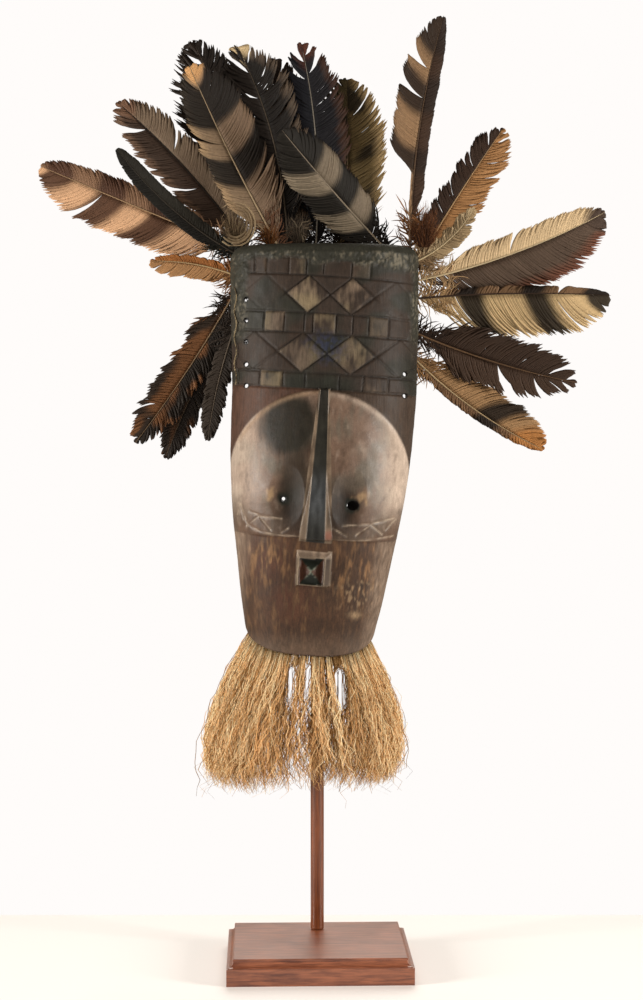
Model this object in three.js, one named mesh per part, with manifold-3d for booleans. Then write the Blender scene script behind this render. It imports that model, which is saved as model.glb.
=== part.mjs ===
// A carved wooden face mask with a feather crest and a raffia fringe, held up by a rod on a moulded base.
// Millimetres, +Z up, the face looks along -Y. The origin is the middle of the base's underside.
import * as THREE from "three";
import { mergeVertices } from "three/addons/utils/BufferGeometryUtils.js";
import Module from "manifold-3d";

const wasm = await Module();
wasm.setup();

// The gap that two touching pieces keep
const TOUCH = 0.3;

// How far the shapes that cut the carving run in front of it and behind it
const CUT = { front: -130, back: 10 };

// The stand: a block under a cove and a thin top board, and a round rod near its back edge
const BASE = {
  width: 180, depth: 148, blockHeight: 16.5, height: 24.8, inset: 6.8, turn: 1.8,
  ledge: 1.6, fillet: 0.6, coveSteps: 5, coveReach: 5, board: 2.4, boardLip: 0.6, boardEdge: 0.8,
};
const ROD = { radius: 6.7, behindMiddle: 42, sides: 20 };

// Where the mask's own zero lies: the middle of its open back, level with the front of its lower rim
const MASK_AT = { x: 6, y: 52, z: 307 };

// The mask's outline: half width and front-to-back depth at heights above its lower rim
const HEIGHT = 405;
const WALL = 11;
const TOP_WALL = 15;
const HALF_WIDTHS = [[0, 60.5], [45, 70], [93, 77.8], [152, 86.8], [215, 91.6], [300, 93], [405, 93]];
const DEPTHS = [[0, 58], [60, 75], [118, 86], [180, 85], [262, 80], [340, 76], [405, 71]];
const ARCH_POWER = 2.6;
const TOP_ROUND = { height: 9, inset: 11, steps: 3 };
// The rim lies in one plane: lowest a little above zero at the front, rising to the back and to the left
const RIM = { low: 0.5, lowX: -2.5, rise: 25.4, tilt: 0.0693, spare: 8, cutReach: 150, cutDepth: 100 };

// The lower face leans to one side below the brow, and all carving leans by the same angle about the brow
const BROW = 262;
const BODY_LEAN = 0.058;
const CARVING_LEAN = THREE.MathUtils.degToRad(3.5);

// The carved panel above the brow: rows of blocks and rows of diamonds, as heights above the brow. The lines
// between the diamonds cross in the middle of the panel and at every pitch from there.
const PANEL = { halfWidth: 89, grooveWidth: 2.2, grooveDepth: 1.7, sunkDepth: 0.8, spare: 5 };
const BLOCK_ROWS = [
  { low: 0, high: 15.5, blocks: [[-64, -42], [38, 62]], joints: [-20, 14] },
  { low: 54, high: 73.5, blocks: [[-63, -44], [-15, 7], [40, 59]], joints: [-24, 24] },
  { low: 110, high: 126, blocks: [[-42, -25], [20, 38], [-76, -64]], joints: [-8] },
];
const DIAMOND_ROWS = [
  { low: 15.5, high: 54, pitch: 48 },
  { low: 73.5, high: 110, pitch: 43 },
];

// The round face: a bulging form, arched above its middle and cut off straight at the cheek line
const CHEEK = 118;
const FACE = {
  middle: 174, halfWidth: 90, halfHeight: 87, outlineDepth: 110, back: -36,
  bulgeX: 85, bulgeY: 60, bulgeZ: 150,
};
const EYE_HOLLOW = { x: 33, z: 156, front: -101, rx: 20, ry: 15, rz: 34 };
const EYES = [{ x: -33.5, z: 154, radius: 3 }, { x: 33.5, z: 152, radius: 4.3 }];

// The nose widens and comes forward from the brow to its foot, with sloping sides
const NOSE = {
  top: 261, foot: CHEEK - 1, topFace: 7.8, topBase: 10.7, footFace: 18, footBase: 31, topFront: -88.5,
  footFront: -107, root: -70, sideSlope: 0.9, forwardPower: 0.7, sections: [0, 0.3, 0.6, 1],
};

// The mouth: the frame's foot and front, the recess's depth, and the low point of four facets inside it
const MOUTH = {
  z: 88.5, baseHalf: 17, baseY: -70, frontY: -92, slopeDepth: 9, left: -14, right: 9.6, low: -15.8, high: 10.2,
  lip: 0.4, recess: 6, pyramid: 4.5, pyramidRoot: 1.2, pyramidSharpness: 0.995, openSpare: 5,
};

// The band of cut triangles under the eyes
const BAND = {
  upper: 134, lower: CHEEK + 3, inner: 20, outer: 76, teeth: 3, width: 1.8, depth: 1.3,
  upperDrop: 3, lowerDrop: 2,
};

// Holes through the edges of the mask, as heights above its lower rim
const EDGE_HOLE = {
  radius: 1.9, leftX: -77, rightX: 79, left: [351, 330.5, 309.5, 287.5, 266.5], right: [278, 256.5],
};
const LASHING = {
  radius: 0.9, x: -86.5, low: 268, high: 364, steps: 12, sway: 1.2, swayTurn: 1.9, offX: 1.3, offY: 1.6,
};

// How finely each curved form is divided
const FACETS = {
  archHeights: [-RIM.spare, 30, 62, 93, CHEEK, 152, 184, 215, 240, BROW, HEIGHT - TOP_ROUND.height],
  archColumns: 16,
  hollowHeights: [-2 * RIM.spare, 30, 62, 93, 125, 160, 215, 270, HEIGHT - TOP_WALL],
  hollowColumns: 14,
  face: [34, 19],
  faceOutline: 16,
  eyeHollow: [12, 8],
  eyeHole: 10,
  edgeHole: 6,
  tuft: [9, 6],
  cord: 3,
};

// Feathers by their main tone: where the quill starts and the tip ends in the mask's plane, how far the shaft
// bows to the left of the straight line, which layer behind the mask it lies in, how far the tip leans back,
// and its vane widths left and right of the shaft.
const QUILL = {
  radius: 1.5, tipRadius: 0.5, bare: 0.12, opening: 0.22, narrowsFrom: 0.72, layerStep: 3.7, stations: 9,
};
const FEATHERS = {
  pale: [
    { name: "left_pale", root: [-70, 400], tip: [-288, 490], bow: 1, layer: 2, lean: 6, vane: [36, 20] },
    { name: "left_grey", root: [-70, 398], tip: [-212, 558], bow: -7, layer: 4, lean: 20, vane: [27.6, 25.3] },
    { name: "left_tall", root: [-40, 397], tip: [-136, 589], bow: 3, layer: 2, lean: -6, vane: [26.4, 37.4] },
    { name: "top_grey", root: [-33, 396], tip: [-53, 584], bow: 7, layer: 7, lean: 40, vane: [20, 20] },
    { name: "top_banded", root: [70, 396], tip: [-42, 519], bow: 1, layer: 0, lean: -30, vane: [29.7, 26.4] },
    { name: "right_upright", root: [86, 388], tip: [120, 640], bow: 9, layer: 1, lean: 6, vane: [28, 12] },
    { name: "right_brown", root: [87, 380], tip: [183, 531], bow: 2, layer: 3, lean: 22, vane: [19.6, 25.3] },
    { name: "right_ribbon", root: [88, 391], tip: [150, 445], bow: -7, layer: 0, lean: -12, vane: [9, 11] },
    { name: "right_large", root: [85, 372], tip: [285, 444], bow: -8, layer: 2, lean: 10, vane: [20, 42] },
    { name: "right_barred", root: [85, 355], tip: [288, 358], bow: 4, layer: 1, lean: -8, vane: [8, 42] },
    { name: "right_low", root: [81, 305], tip: [222, 203], bow: -8, layer: 1, lean: 2, vane: [30, 8] },
  ],
  dark: [
    { name: "left_narrow", root: [-75, 393], tip: [-208, 504], bow: 10, layer: 1, lean: -14, vane: [10, 11] },
    { name: "top_dark_left", root: [-45, 398], tip: [-136, 624], bow: -4, layer: 6, lean: 30, vane: [44, 31] },
    { name: "top_cream", root: [-38, 396], tip: [-89, 612], bow: -14, layer: 3, lean: 4, vane: [31, 36] },
    { name: "top_brown", root: [-25, 396], tip: [-53, 603], bow: -10, layer: 5, lean: 20, vane: [18.2, 28.6] },
    { name: "top_blue_black", root: [-10, 397], tip: [-24, 616], bow: -9, layer: 4, lean: 8, vane: [23.4, 33.8] },
    { name: "top_olive", root: [14, 396], tip: [22, 584], bow: -5, layer: 6, lean: 22, vane: [31.4, 40.3] },
    { name: "top_inner", root: [38, 396], tip: [6, 530], bow: 4, layer: 8, lean: 34, vane: [28.8, 26.4] },
    { name: "right_dark", root: [82, 325], tip: [254, 270], bow: -5, layer: 0, lean: -16, vane: [29.9, 25.3] },
    { name: "left_mottled", root: [-85, 372], tip: [-191, 210], bow: 4, layer: 1, lean: -6, vane: [19.2, 22.8] },
    { name: "left_mottled_back", root: [-86, 352], tip: [-162, 194], bow: -4, layer: 2, lean: 6, vane: [16.8, 16.8] },
    { name: "left_twisted", root: [-86, 330], tip: [-145, 222], bow: -3, layer: 3, lean: 14, vane: [7, 8] },
    { name: "left_low", root: [-86, 338], tip: [-118, 212], bow: -4, layer: 0, lean: 3, vane: [11, 12] },
  ],
  orange: [
    { name: "left_orange", root: [-79, 374], tip: [-176, 392], bow: -6, layer: 0, lean: -10, vane: [15, 8] },
  ],
};

// Down tufts in the crest: middle, and half sizes across, front to back and up
const TUFTS = [
  { name: "down_tuft_left", at: [-90, -17, 424], half: [22, 14, 26] },
  { name: "down_tuft_small", at: [-55, -15, 417], half: [11, 12, 13] },
  { name: "down_tuft_middle", at: [-24, -17, 421], half: [18, 13, 17] },
  { name: "down_tuft_right", at: [99, -15, 425], half: [20, 12, 28] },
];

// The raffia fringe: hanks side by side under the lower rim, from one back edge round the front to the other,
// shorter in front of the rod. In the two windows the hanks are thin for a while below the band at the rim.
// Levels give the drop below the rim in millimetres, or the share of the whole drop.
const FRINGE = {
  hanks: 15, sweep: 84, drop: 128, dropSwing: 5, swingTurn: 2.4, notch: 15, notchHank: 7, inset: 3, flare: 33.5,
  flareTurn: 2.12, frontFlare: 0.8, shift: -8, below: 1.9, windows: [5, 6, 8, 9],
};
const HANK_FOOT = [
  { fall: 0.6, fill: 0.94, thick: 13 },
  { fall: 0.87, fill: 0.94, thick: 12 },
  { fall: 1, fill: 0.4, thick: 5 },
];
const HANK_LEVELS = [{ below: 0, fill: 0.9, thick: 4 }, { below: 54, fill: 0.92, thick: 8 }, ...HANK_FOOT];
const WINDOW_LEVELS = [
  { below: 0, fill: 0.9, thick: 4 },
  { below: 8, fill: 0.9, thick: 4.6 },
  { below: 11, fill: 0.3, thick: 4.8 },
  { below: 58, fill: 0.3, thick: 8 },
  ...HANK_FOOT,
];
const HANK_SECTION = [[-0.5, 0], [-0.3, -0.5], [0.3, -0.5], [0.5, 0], [0.3, 0.5], [-0.3, 0.5]];

const COLORS = {
  mask: 0x4a3a30, base: 0x6f3f33, rod: 0x7a3d2b, cord: 0xb9a98c, down: 0xb5a996, raffia: 0xc7a26c,
  pale: 0xb99a76, dark: 0x46362b, orange: 0xb0713a,
};

function material(color, roughness) {
  return new THREE.MeshStandardMaterial({ color, roughness, metalness: 0, flatShading: true });
}

// A smooth line through (position, value) pairs
function throughPoints(pairs) {
  const curve = new THREE.SplineCurve(pairs.map(([at, value]) => new THREE.Vector2(at, value)));
  const halvings = 24;
  return (at) => {
    let low = 0;
    let high = 1;
    for (let i = 0; i < halvings; i += 1) {
      const middle = (low + high) / 2;
      if (curve.getPoint(middle).x < at) low = middle;
      else high = middle;
    }
    return curve.getPoint(low).y;
  };
}

function geometryFrom(positions) {
  return new THREE.BufferGeometry().setAttribute("position", new THREE.Float32BufferAttribute(positions, 3));
}

// A closed body through rings of equally many points, capped at both ends
function loft(rings) {
  const count = rings[0].length;
  const positions = [];
  const triangle = (a, b, c) => positions.push(...a.toArray(), ...b.toArray(), ...c.toArray());
  for (let i = 0; i + 1 < rings.length; i += 1) {
    for (let j = 0; j < count; j += 1) {
      const next = (j + 1) % count;
      triangle(rings[i][j], rings[i][next], rings[i + 1][next]);
      triangle(rings[i][j], rings[i + 1][next], rings[i + 1][j]);
    }
  }
  const first = rings[0];
  const last = rings[rings.length - 1];
  for (let j = 1; j + 1 < count; j += 1) {
    triangle(first[0], first[j + 1], first[j]);
    triangle(last[0], last[j], last[j + 1]);
  }
  return facingOut(geometryFrom(positions));
}

// The same body, with all its faces turned round if they face inwards
function facingOut(geometry) {
  const position = geometry.getAttribute("position");
  const a = new THREE.Vector3();
  const b = new THREE.Vector3();
  const c = new THREE.Vector3();
  let volume = 0;
  for (let i = 0; i < position.count; i += 3) {
    a.fromBufferAttribute(position, i);
    b.fromBufferAttribute(position, i + 1);
    c.fromBufferAttribute(position, i + 2);
    volume += a.dot(b.cross(c));
  }
  if (volume > 0) return geometry;
  for (let i = 0; i < position.count; i += 3) {
    b.fromBufferAttribute(position, i + 1);
    c.fromBufferAttribute(position, i + 2);
    position.setXYZ(i + 1, ...c.toArray());
    position.setXYZ(i + 2, ...b.toArray());
  }
  return geometry;
}

// Between geometry and solids that can be cut and joined
function solid(geometry) {
  const bare = geometry.index ? geometry.toNonIndexed() : geometry.clone();
  bare.deleteAttribute("normal");
  bare.deleteAttribute("uv");
  const tolerance = 1e-4;
  const merged = mergeVertices(bare, tolerance);
  return new wasm.Manifold(new wasm.Mesh({
    numProp: 3,
    vertProperties: new Float32Array(merged.getAttribute("position").array),
    triVerts: new Uint32Array(merged.index.array),
  }));
}

function geometryOf(body) {
  const { numProp, vertProperties, triVerts } = body.getMesh();
  const positions = [];
  for (const vertex of triVerts) {
    const start = vertex * numProp;
    positions.push(vertProperties[start], vertProperties[start + 1], vertProperties[start + 2]);
  }
  return geometryFrom(positions);
}

function joined(bodies) {
  return bodies.reduce((whole, body) => whole.add(body));
}

function block(lowX, highX, lowY, highY, lowZ, highZ) {
  const box = new THREE.BoxGeometry(highX - lowX, highY - lowY, highZ - lowZ);
  return box.translate((lowX + highX) / 2, (lowY + highY) / 2, (lowZ + highZ) / 2);
}

// A straight bar from one point of the face to another, running front to back through the carving
function bar(fromX, fromZ, toX, toZ, width) {
  const half = (Math.hypot(toX - fromX, toZ - fromZ) + width) / 2;
  const box = block(-half, half, CUT.front, CUT.back, -width / 2, width / 2);
  box.rotateY(-Math.atan2(toZ - fromZ, toX - fromX));
  return box.translate((fromX + toX) / 2, 0, (fromZ + toZ) / 2);
}

// A round cutter that runs front to back
function drill(x, z, radius, sides) {
  const cylinder = new THREE.CylinderGeometry(radius, radius, CUT.back - CUT.front, sides);
  return cylinder.translate(x, (CUT.back + CUT.front) / 2, z);
}

function ellipsoid(x, y, z, rx, ry, rz, [around, high]) {
  return new THREE.SphereGeometry(1, around, high).rotateX(Math.PI / 2).scale(rx, ry, rz).translate(x, y, z);
}

// The carving's own upright: turned about the brow
function leaned(geometry) {
  return geometry.translate(0, 0, -BROW).rotateY(CARVING_LEAN).translate(0, 0, BROW);
}

const halfWidthAt = throughPoints(HALF_WIDTHS);
const depthAt = throughPoints(DEPTHS);

function middleAt(z) {
  return -BODY_LEAN * Math.max(0, BROW - z);
}

// A point on the mask's front, from -90 degrees at its left edge to 90 at its right edge
function archPoint(angle, z, inward = 0) {
  const across = Math.sin(angle);
  const out = Math.cos(angle);
  const x = (halfWidthAt(z) - inward) * Math.sign(across) * Math.abs(across) ** (2 / ARCH_POWER);
  const y = -(depthAt(z) - inward) * Math.max(out, 0) ** (2 / ARCH_POWER);
  return new THREE.Vector3(middleAt(z) + x, y, z);
}

// The front's y at a place across
function frontAt(x, z) {
  const share = Math.min(1, Math.abs(x - middleAt(z)) / halfWidthAt(z));
  return -depthAt(z) * (1 - share ** ARCH_POWER) ** (1 / ARCH_POWER);
}

// The arch at one height, whose two ends run straight to a plane at backY
function archRing(z, inward, columns, backY) {
  const ring = [];
  for (let i = 0; i <= columns; i += 1) {
    const point = archPoint(Math.PI * (i / columns - 0.5), z, inward);
    if (i === 0 || i === columns) point.y = backY;
    ring.push(point);
  }
  return ring;
}

// The whole log from rim to top, its upper edge rounded, some way inside its true surface
function archBody(inward) {
  const { archHeights, archColumns } = FACETS;
  const rings = archHeights.map((z) => archRing(z, inward, archColumns, 0));
  for (let i = 1; i <= TOP_ROUND.steps; i += 1) {
    const turn = (i / TOP_ROUND.steps) * (Math.PI / 2);
    const z = HEIGHT - TOP_ROUND.height * (1 - Math.sin(turn));
    rings.push(archRing(z, inward + TOP_ROUND.inset * (1 - Math.cos(turn)), archColumns, 0));
  }
  return solid(loft(rings));
}

function hollow() {
  const { hollowHeights, hollowColumns } = FACETS;
  return solid(loft(hollowHeights.map((z) => archRing(z, WALL, hollowColumns, 2 * WALL))));
}

// The part of the front that the panel covers
function panelField() {
  const { halfWidth, spare } = PANEL;
  return solid(leaned(block(-halfWidth, halfWidth, CUT.front, CUT.back, BROW - spare, HEIGHT + spare)));
}

// What the grooves between the panel's blocks and diamonds take away
function panelGrooves() {
  const { halfWidth, grooveWidth } = PANEL;
  const bars = [];
  const lines = new Set(BLOCK_ROWS.flatMap((row) => [row.low, row.high]));
  for (const z of lines) bars.push(bar(-halfWidth, BROW + z, halfWidth, BROW + z, grooveWidth));
  for (const row of BLOCK_ROWS) {
    for (const x of [...row.blocks.flat(), ...row.joints]) {
      bars.push(bar(x, BROW + row.low, x, BROW + row.high, grooveWidth));
    }
  }
  for (const row of DIAMOND_ROWS) {
    for (let i = -2; i <= 2; i += 1) {
      const left = (i - 0.5) * row.pitch;
      const right = left + row.pitch;
      bars.push(bar(left, BROW + row.low, right, BROW + row.high, grooveWidth));
      bars.push(bar(left, BROW + row.high, right, BROW + row.low, grooveWidth));
    }
  }
  return joined(bars.map((geometry) => solid(leaned(geometry)))).intersect(panelField());
}

// The dark blocks of the panel lie a little deeper than the worn, light ones
function panelSunk() {
  const pieces = [];
  for (const row of BLOCK_ROWS) {
    const edges = row.blocks.flat().sort((a, b) => a - b);
    const ends = [-PANEL.halfWidth, ...edges, PANEL.halfWidth];
    for (let i = 0; i < ends.length; i += 2) {
      pieces.push(block(ends[i], ends[i + 1], CUT.front, CUT.back, BROW + row.low, BROW + row.high));
    }
  }
  return joined(pieces.map((geometry) => solid(leaned(geometry))));
}

// The round face, some way inside its true surface
function faceBulge(inward) {
  const { middle, back, bulgeX, bulgeY, bulgeZ } = FACE;
  const body = ellipsoid(0, back, middle, bulgeX - inward, bulgeY - inward, bulgeZ - inward, FACETS.face);
  return solid(leaned(body));
}

function faceOutline() {
  const shape = new THREE.Shape();
  const { middle, halfWidth, halfHeight, outlineDepth } = FACE;
  shape.moveTo(halfWidth, CHEEK);
  shape.lineTo(halfWidth, middle);
  shape.absellipse(0, middle, halfWidth, halfHeight, 0, Math.PI, false, 0);
  shape.lineTo(-halfWidth, CHEEK);
  shape.closePath();
  const prism = new THREE.ExtrudeGeometry(shape, {
    depth: outlineDepth,
    bevelEnabled: false,
    curveSegments: FACETS.faceOutline,
  });
  return solid(leaned(prism.rotateX(Math.PI / 2)));
}

function eyeHollow(side) {
  const { x, front, z, rx, ry, rz } = EYE_HOLLOW;
  return solid(leaned(ellipsoid(side * x, front, z, rx, ry, rz, FACETS.eyeHollow)));
}

function nose() {
  const { top, foot, topFace, topBase, footFace, footBase, topFront, footFront } = NOSE;
  const section = (z, faceWidth, baseWidth, front) => {
    const shoulder = front + (baseWidth - faceWidth) * NOSE.sideSlope;
    return [
      new THREE.Vector3(-baseWidth / 2, NOSE.root, z),
      new THREE.Vector3(-baseWidth / 2, shoulder, z),
      new THREE.Vector3(-faceWidth / 2, front, z),
      new THREE.Vector3(faceWidth / 2, front, z),
      new THREE.Vector3(baseWidth / 2, shoulder, z),
      new THREE.Vector3(baseWidth / 2, NOSE.root, z),
    ];
  };
  const { lerp } = THREE.MathUtils;
  return solid(leaned(loft(NOSE.sections.map((share) => section(
    lerp(foot, top, share),
    lerp(footFace, topFace, share),
    lerp(footBase, topBase, share),
    lerp(footFront, topFront, share ** NOSE.forwardPower),
  )))));
}

function rectangle(left, right, low, high, y) {
  return [[left, low], [right, low], [right, high], [left, high]].map(([x, z]) => new THREE.Vector3(x, y, z));
}

// The mouth's frame, whose sides slope back to its foot
function mouthFrame() {
  const { z, baseHalf, baseY, frontY, slopeDepth, left, right, low, high } = MOUTH;
  const back = rectangle(-baseHalf, baseHalf, z - baseHalf, z + baseHalf, baseY);
  const foot = rectangle(-baseHalf, baseHalf, z - baseHalf, z + baseHalf, frontY + slopeDepth);
  const front = rectangle(left, right, z + low, z + high, frontY);
  return solid(leaned(loft([back, foot, front])));
}

// The square recess in the mouth, in which four facets meet at a point
function mouthRecess() {
  const { z, frontY, left, right, low, high, lip, recess, pyramid, openSpare } = MOUTH;
  const floorY = frontY + recess;
  const opening = block(left + lip, right - lip, frontY - openSpare, floorY, z + low + lip, z + high - lip);
  const tip = new THREE.Vector3((left + right) / 2, floorY - pyramid, z + (low + high) / 2);
  const floor = rectangle(left, right, z + low, z + high, floorY + MOUTH.pyramidRoot);
  const apex = floor.map((corner) => corner.clone().lerp(tip, MOUTH.pyramidSharpness));
  return solid(leaned(opening)).subtract(solid(leaned(loft([floor, apex]))));
}

// The band of cut triangles under the eyes, on both cheeks
function bandGrooves() {
  const bars = [];
  const { upper, lower, inner, outer, teeth, width, upperDrop, lowerDrop } = BAND;
  const step = (outer - inner) / teeth;
  for (const side of [-1, 1]) {
    bars.push(bar(side * inner, upper, side * outer, upper + upperDrop, width));
    bars.push(bar(side * inner, lower, side * outer, lower + lowerDrop, width));
    for (let i = 0; i < teeth; i += 1) {
      const start = inner + i * step;
      bars.push(bar(side * start, lower, side * (start + step / 2), upper, width));
      bars.push(bar(side * (start + step / 2), upper, side * (start + step), lower, width));
    }
  }
  return joined(bars.map((geometry) => solid(leaned(geometry))));
}

function holes() {
  const { radius, leftX, rightX, left, right } = EDGE_HOLE;
  return joined([
    ...EYES.map((eye) => solid(leaned(drill(eye.x, eye.z, eye.radius, FACETS.eyeHole)))),
    ...left.map((z) => solid(drill(leftX, z, radius, FACETS.edgeHole))),
    ...right.map((z) => solid(drill(rightX, z, radius, FACETS.edgeHole))),
  ]);
}

// The height of the rim's plane
function rimHeight(x, y) {
  return RIM.low + RIM.rise * (1 + y / DEPTHS[0][1]) - RIM.tilt * (x - RIM.lowX);
}

// Everything below the rim's plane
function rimCut() {
  const { cutReach, cutDepth } = RIM;
  const box = block(-cutReach, cutReach, -cutReach, cutReach, -cutDepth, 0);
  const position = box.getAttribute("position");
  for (let i = 0; i < position.count; i += 1) {
    position.setZ(i, position.getZ(i) + rimHeight(position.getX(i), position.getY(i)));
  }
  return solid(box);
}

function maskBody() {
  const log = archBody(0)
    .subtract(panelGrooves().subtract(archBody(PANEL.grooveDepth)))
    .subtract(panelSunk().subtract(archBody(PANEL.sunkDepth)));
  const face = faceOutline()
    .intersect(faceBulge(0).subtract(bandGrooves().subtract(faceBulge(BAND.depth))))
    .subtract(eyeHollow(-1))
    .subtract(eyeHollow(1));
  return log
    .add(face)
    .add(nose())
    .add(mouthFrame())
    .subtract(mouthRecess())
    .subtract(hollow())
    .subtract(holes())
    .subtract(rimCut());
}

// How wide the vane is at a place along the feather: bare quill, opening vane, round tip
function vaneShare(along) {
  const { bare, opening, narrowsFrom } = QUILL;
  const start = THREE.MathUtils.smoothstep(along, bare, bare + opening);
  const towardsTip = Math.max(0, along - narrowsFrom) / (1 - narrowsFrom);
  return start * Math.sqrt(Math.max(0, 1 - towardsTip ** 2));
}

// A feather is a thin blade, thickest along the shaft
function feather({ root, tip, bow, layer, lean, vane }) {
  const from = new THREE.Vector2(...root);
  const along = new THREE.Vector2(...tip).sub(from);
  const left = new THREE.Vector2(-along.y, along.x).normalize();
  const rings = [];
  for (let i = 0; i <= QUILL.stations; i += 1) {
    const share = i / QUILL.stations;
    const arc = 4 * bow * share * (1 - share);
    const middle = from.clone().addScaledVector(along, share).addScaledVector(left, arc);
    const y = QUILL.radius + TOUCH + layer * QUILL.layerStep + lean * share ** 2;
    const half = THREE.MathUtils.lerp(QUILL.radius, QUILL.tipRadius, share);
    const leftWidth = Math.max(half, vane[0] * vaneShare(share));
    const rightWidth = Math.max(half, vane[1] * vaneShare(share));
    rings.push([
      new THREE.Vector3(middle.x + left.x * leftWidth, y, middle.y + left.y * leftWidth),
      new THREE.Vector3(middle.x, y - half, middle.y),
      new THREE.Vector3(middle.x - left.x * rightWidth, y, middle.y - left.y * rightWidth),
      new THREE.Vector3(middle.x, y + half, middle.y),
    ]);
  }
  return loft(rings);
}

// A rounded tuft, flattened where it lies on the mask's top and against the quills
function tuft({ at, half }) {
  const body = ellipsoid(...at, ...half, FACETS.tuft);
  const position = body.getAttribute("position");
  for (let i = 0; i < position.count; i += 1) {
    position.setZ(i, Math.max(position.getZ(i), HEIGHT + TOUCH));
    position.setY(i, Math.min(position.getY(i), -TOUCH));
  }
  return body;
}

// A place in the fringe: across from 0 at its left end to 1 at its right, and down from 0 at the rim to 1
function fringePoint(across, fall, length, deep) {
  const { sweep, inset, flare, flareTurn, frontFlare, shift, below } = FRINGE;
  const angle = THREE.MathUtils.degToRad(sweep * (2 * across - 1));
  const start = archPoint(angle, 0, inset);
  const rimZ = rimHeight(start.x, start.y) - below;
  const out = flare * Math.sin(fall * flareTurn) + deep;
  return new THREE.Vector3(
    start.x + Math.sin(angle) * out + shift * fall,
    start.y - Math.cos(angle) * out * frontFlare,
    rimZ - (length + rimZ) * fall,
  );
}

// One hank of raffia: gathered under the rim, then spreading outwards and down to a ragged end
function hank(index) {
  const { hanks, drop, dropSwing, swingTurn, notch, notchHank, windows } = FRINGE;
  const nearRod = Math.max(0, 1 - Math.abs(index - notchHank) / 2);
  const length = drop + dropSwing * Math.sin(index * swingTurn) - notch * nearRod;
  const levels = windows.includes(index) ? WINDOW_LEVELS : HANK_LEVELS;
  return loft(levels.map((level) => {
    const fall = level.fall ?? level.below / length;
    return HANK_SECTION.map(([across, deep]) => {
      return fringePoint((index + 0.5 + across * level.fill) / hanks, fall, length, deep * level.thick);
    });
  }));
}

function lashing() {
  const { radius, x, low, high, steps, sway, swayTurn, offX, offY } = LASHING;
  const points = [];
  for (let i = 0; i <= steps; i += 1) {
    const z = THREE.MathUtils.lerp(low, high, i / steps);
    const swayed = x + sway * Math.sin(i * swayTurn);
    points.push(new THREE.Vector3(swayed - offX, frontAt(swayed, z) - offY, z));
  }
  return new THREE.ExtrudeGeometry(new THREE.Shape().absarc(0, 0, radius, 0, Math.PI * 2, false), {
    steps,
    curveSegments: FACETS.cord,
    bevelEnabled: false,
    extrudePath: new THREE.CatmullRomCurve3(points),
  });
}

// The base's moulding, from the block up over a cove to the top board
function baseBody() {
  const { width, depth, blockHeight, height, inset, ledge, fillet, coveSteps, coveReach, board } = BASE;
  const profile = [[0, 0], [0, blockHeight], [ledge, blockHeight]];
  const rise = height - board - blockHeight - fillet;
  for (let i = 0; i <= coveSteps; i += 1) {
    const turn = (i / coveSteps) * (Math.PI / 2);
    profile.push([ledge + coveReach * Math.sin(turn), blockHeight + fillet + rise * (1 - Math.cos(turn))]);
  }
  profile.push([inset - BASE.boardLip, height - board]);
  profile.push([inset - BASE.boardLip, height - BASE.boardEdge]);
  profile.push([inset, height]);
  return loft(profile.map(([inward, z]) => {
    const x = width / 2 - inward;
    const y = depth / 2 - inward;
    return [[-x, -y], [x, -y], [x, y], [-x, y]].map((corner) => new THREE.Vector3(...corner, z));
  }));
}

function rodBody(foot, top) {
  const cylinder = new THREE.CylinderGeometry(ROD.radius, ROD.radius, top - foot, ROD.sides);
  return cylinder.rotateX(Math.PI / 2).translate(0, ROD.behindMiddle, (top + foot) / 2);
}

function named(name, geometry, finish) {
  const mesh = new THREE.Mesh(geometry, finish);
  mesh.name = name;
  return mesh;
}

const stand = new THREE.Group();
stand.rotation.z = THREE.MathUtils.degToRad(BASE.turn);
stand.add(named("stand_base", baseBody(), material(COLORS.base, 0.55)));
const rodTop = MASK_AT.z + HEIGHT - TOP_WALL - TOUCH;
stand.add(named("stand_rod", rodBody(BASE.height + TOUCH, rodTop), material(COLORS.rod, 0.5)));

const mask = new THREE.Group();
mask.position.set(MASK_AT.x, MASK_AT.y, MASK_AT.z);
mask.add(named("mask_body", geometryOf(maskBody()), material(COLORS.mask, 0.6)));
mask.add(named("edge_lashing", lashing(), material(COLORS.cord, 0.9)));
for (const [tone, rows] of Object.entries(FEATHERS)) {
  for (const row of rows) mask.add(named(`feather_${row.name}`, feather(row), material(COLORS[tone], 0.7)));
}
for (const row of TUFTS) mask.add(named(row.name, tuft(row), material(COLORS.down, 0.95)));
for (let i = 0; i < FRINGE.hanks; i += 1) {
  mask.add(named(`fringe_hank_${String(i + 1).padStart(2, "0")}`, hank(i), material(COLORS.raffia, 0.9)));
}

const part = new THREE.Group();
part.add(stand);
part.add(mask);

export default part;
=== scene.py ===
import bisect
import math
import random

import bmesh
import bpy
from mathutils import Matrix, Vector, noise


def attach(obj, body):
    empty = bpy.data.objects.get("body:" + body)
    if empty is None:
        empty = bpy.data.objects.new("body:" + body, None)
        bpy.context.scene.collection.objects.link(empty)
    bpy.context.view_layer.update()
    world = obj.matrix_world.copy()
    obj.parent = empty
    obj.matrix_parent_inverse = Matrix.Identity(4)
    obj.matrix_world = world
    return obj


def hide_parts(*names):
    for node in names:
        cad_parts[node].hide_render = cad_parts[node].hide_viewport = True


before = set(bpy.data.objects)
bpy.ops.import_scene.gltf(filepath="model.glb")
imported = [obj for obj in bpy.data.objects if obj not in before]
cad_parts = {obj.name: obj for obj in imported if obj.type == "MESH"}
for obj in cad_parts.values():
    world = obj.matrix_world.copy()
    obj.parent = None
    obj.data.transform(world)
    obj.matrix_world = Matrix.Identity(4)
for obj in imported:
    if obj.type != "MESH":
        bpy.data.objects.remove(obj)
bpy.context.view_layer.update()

mm = 0.001
maskAt = Vector((6, 52, 307))  # the mask's own zero in the part, mm: the middle of its open back, at the rim

# Small helpers for numbers, colours, nodes and pieces


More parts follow.
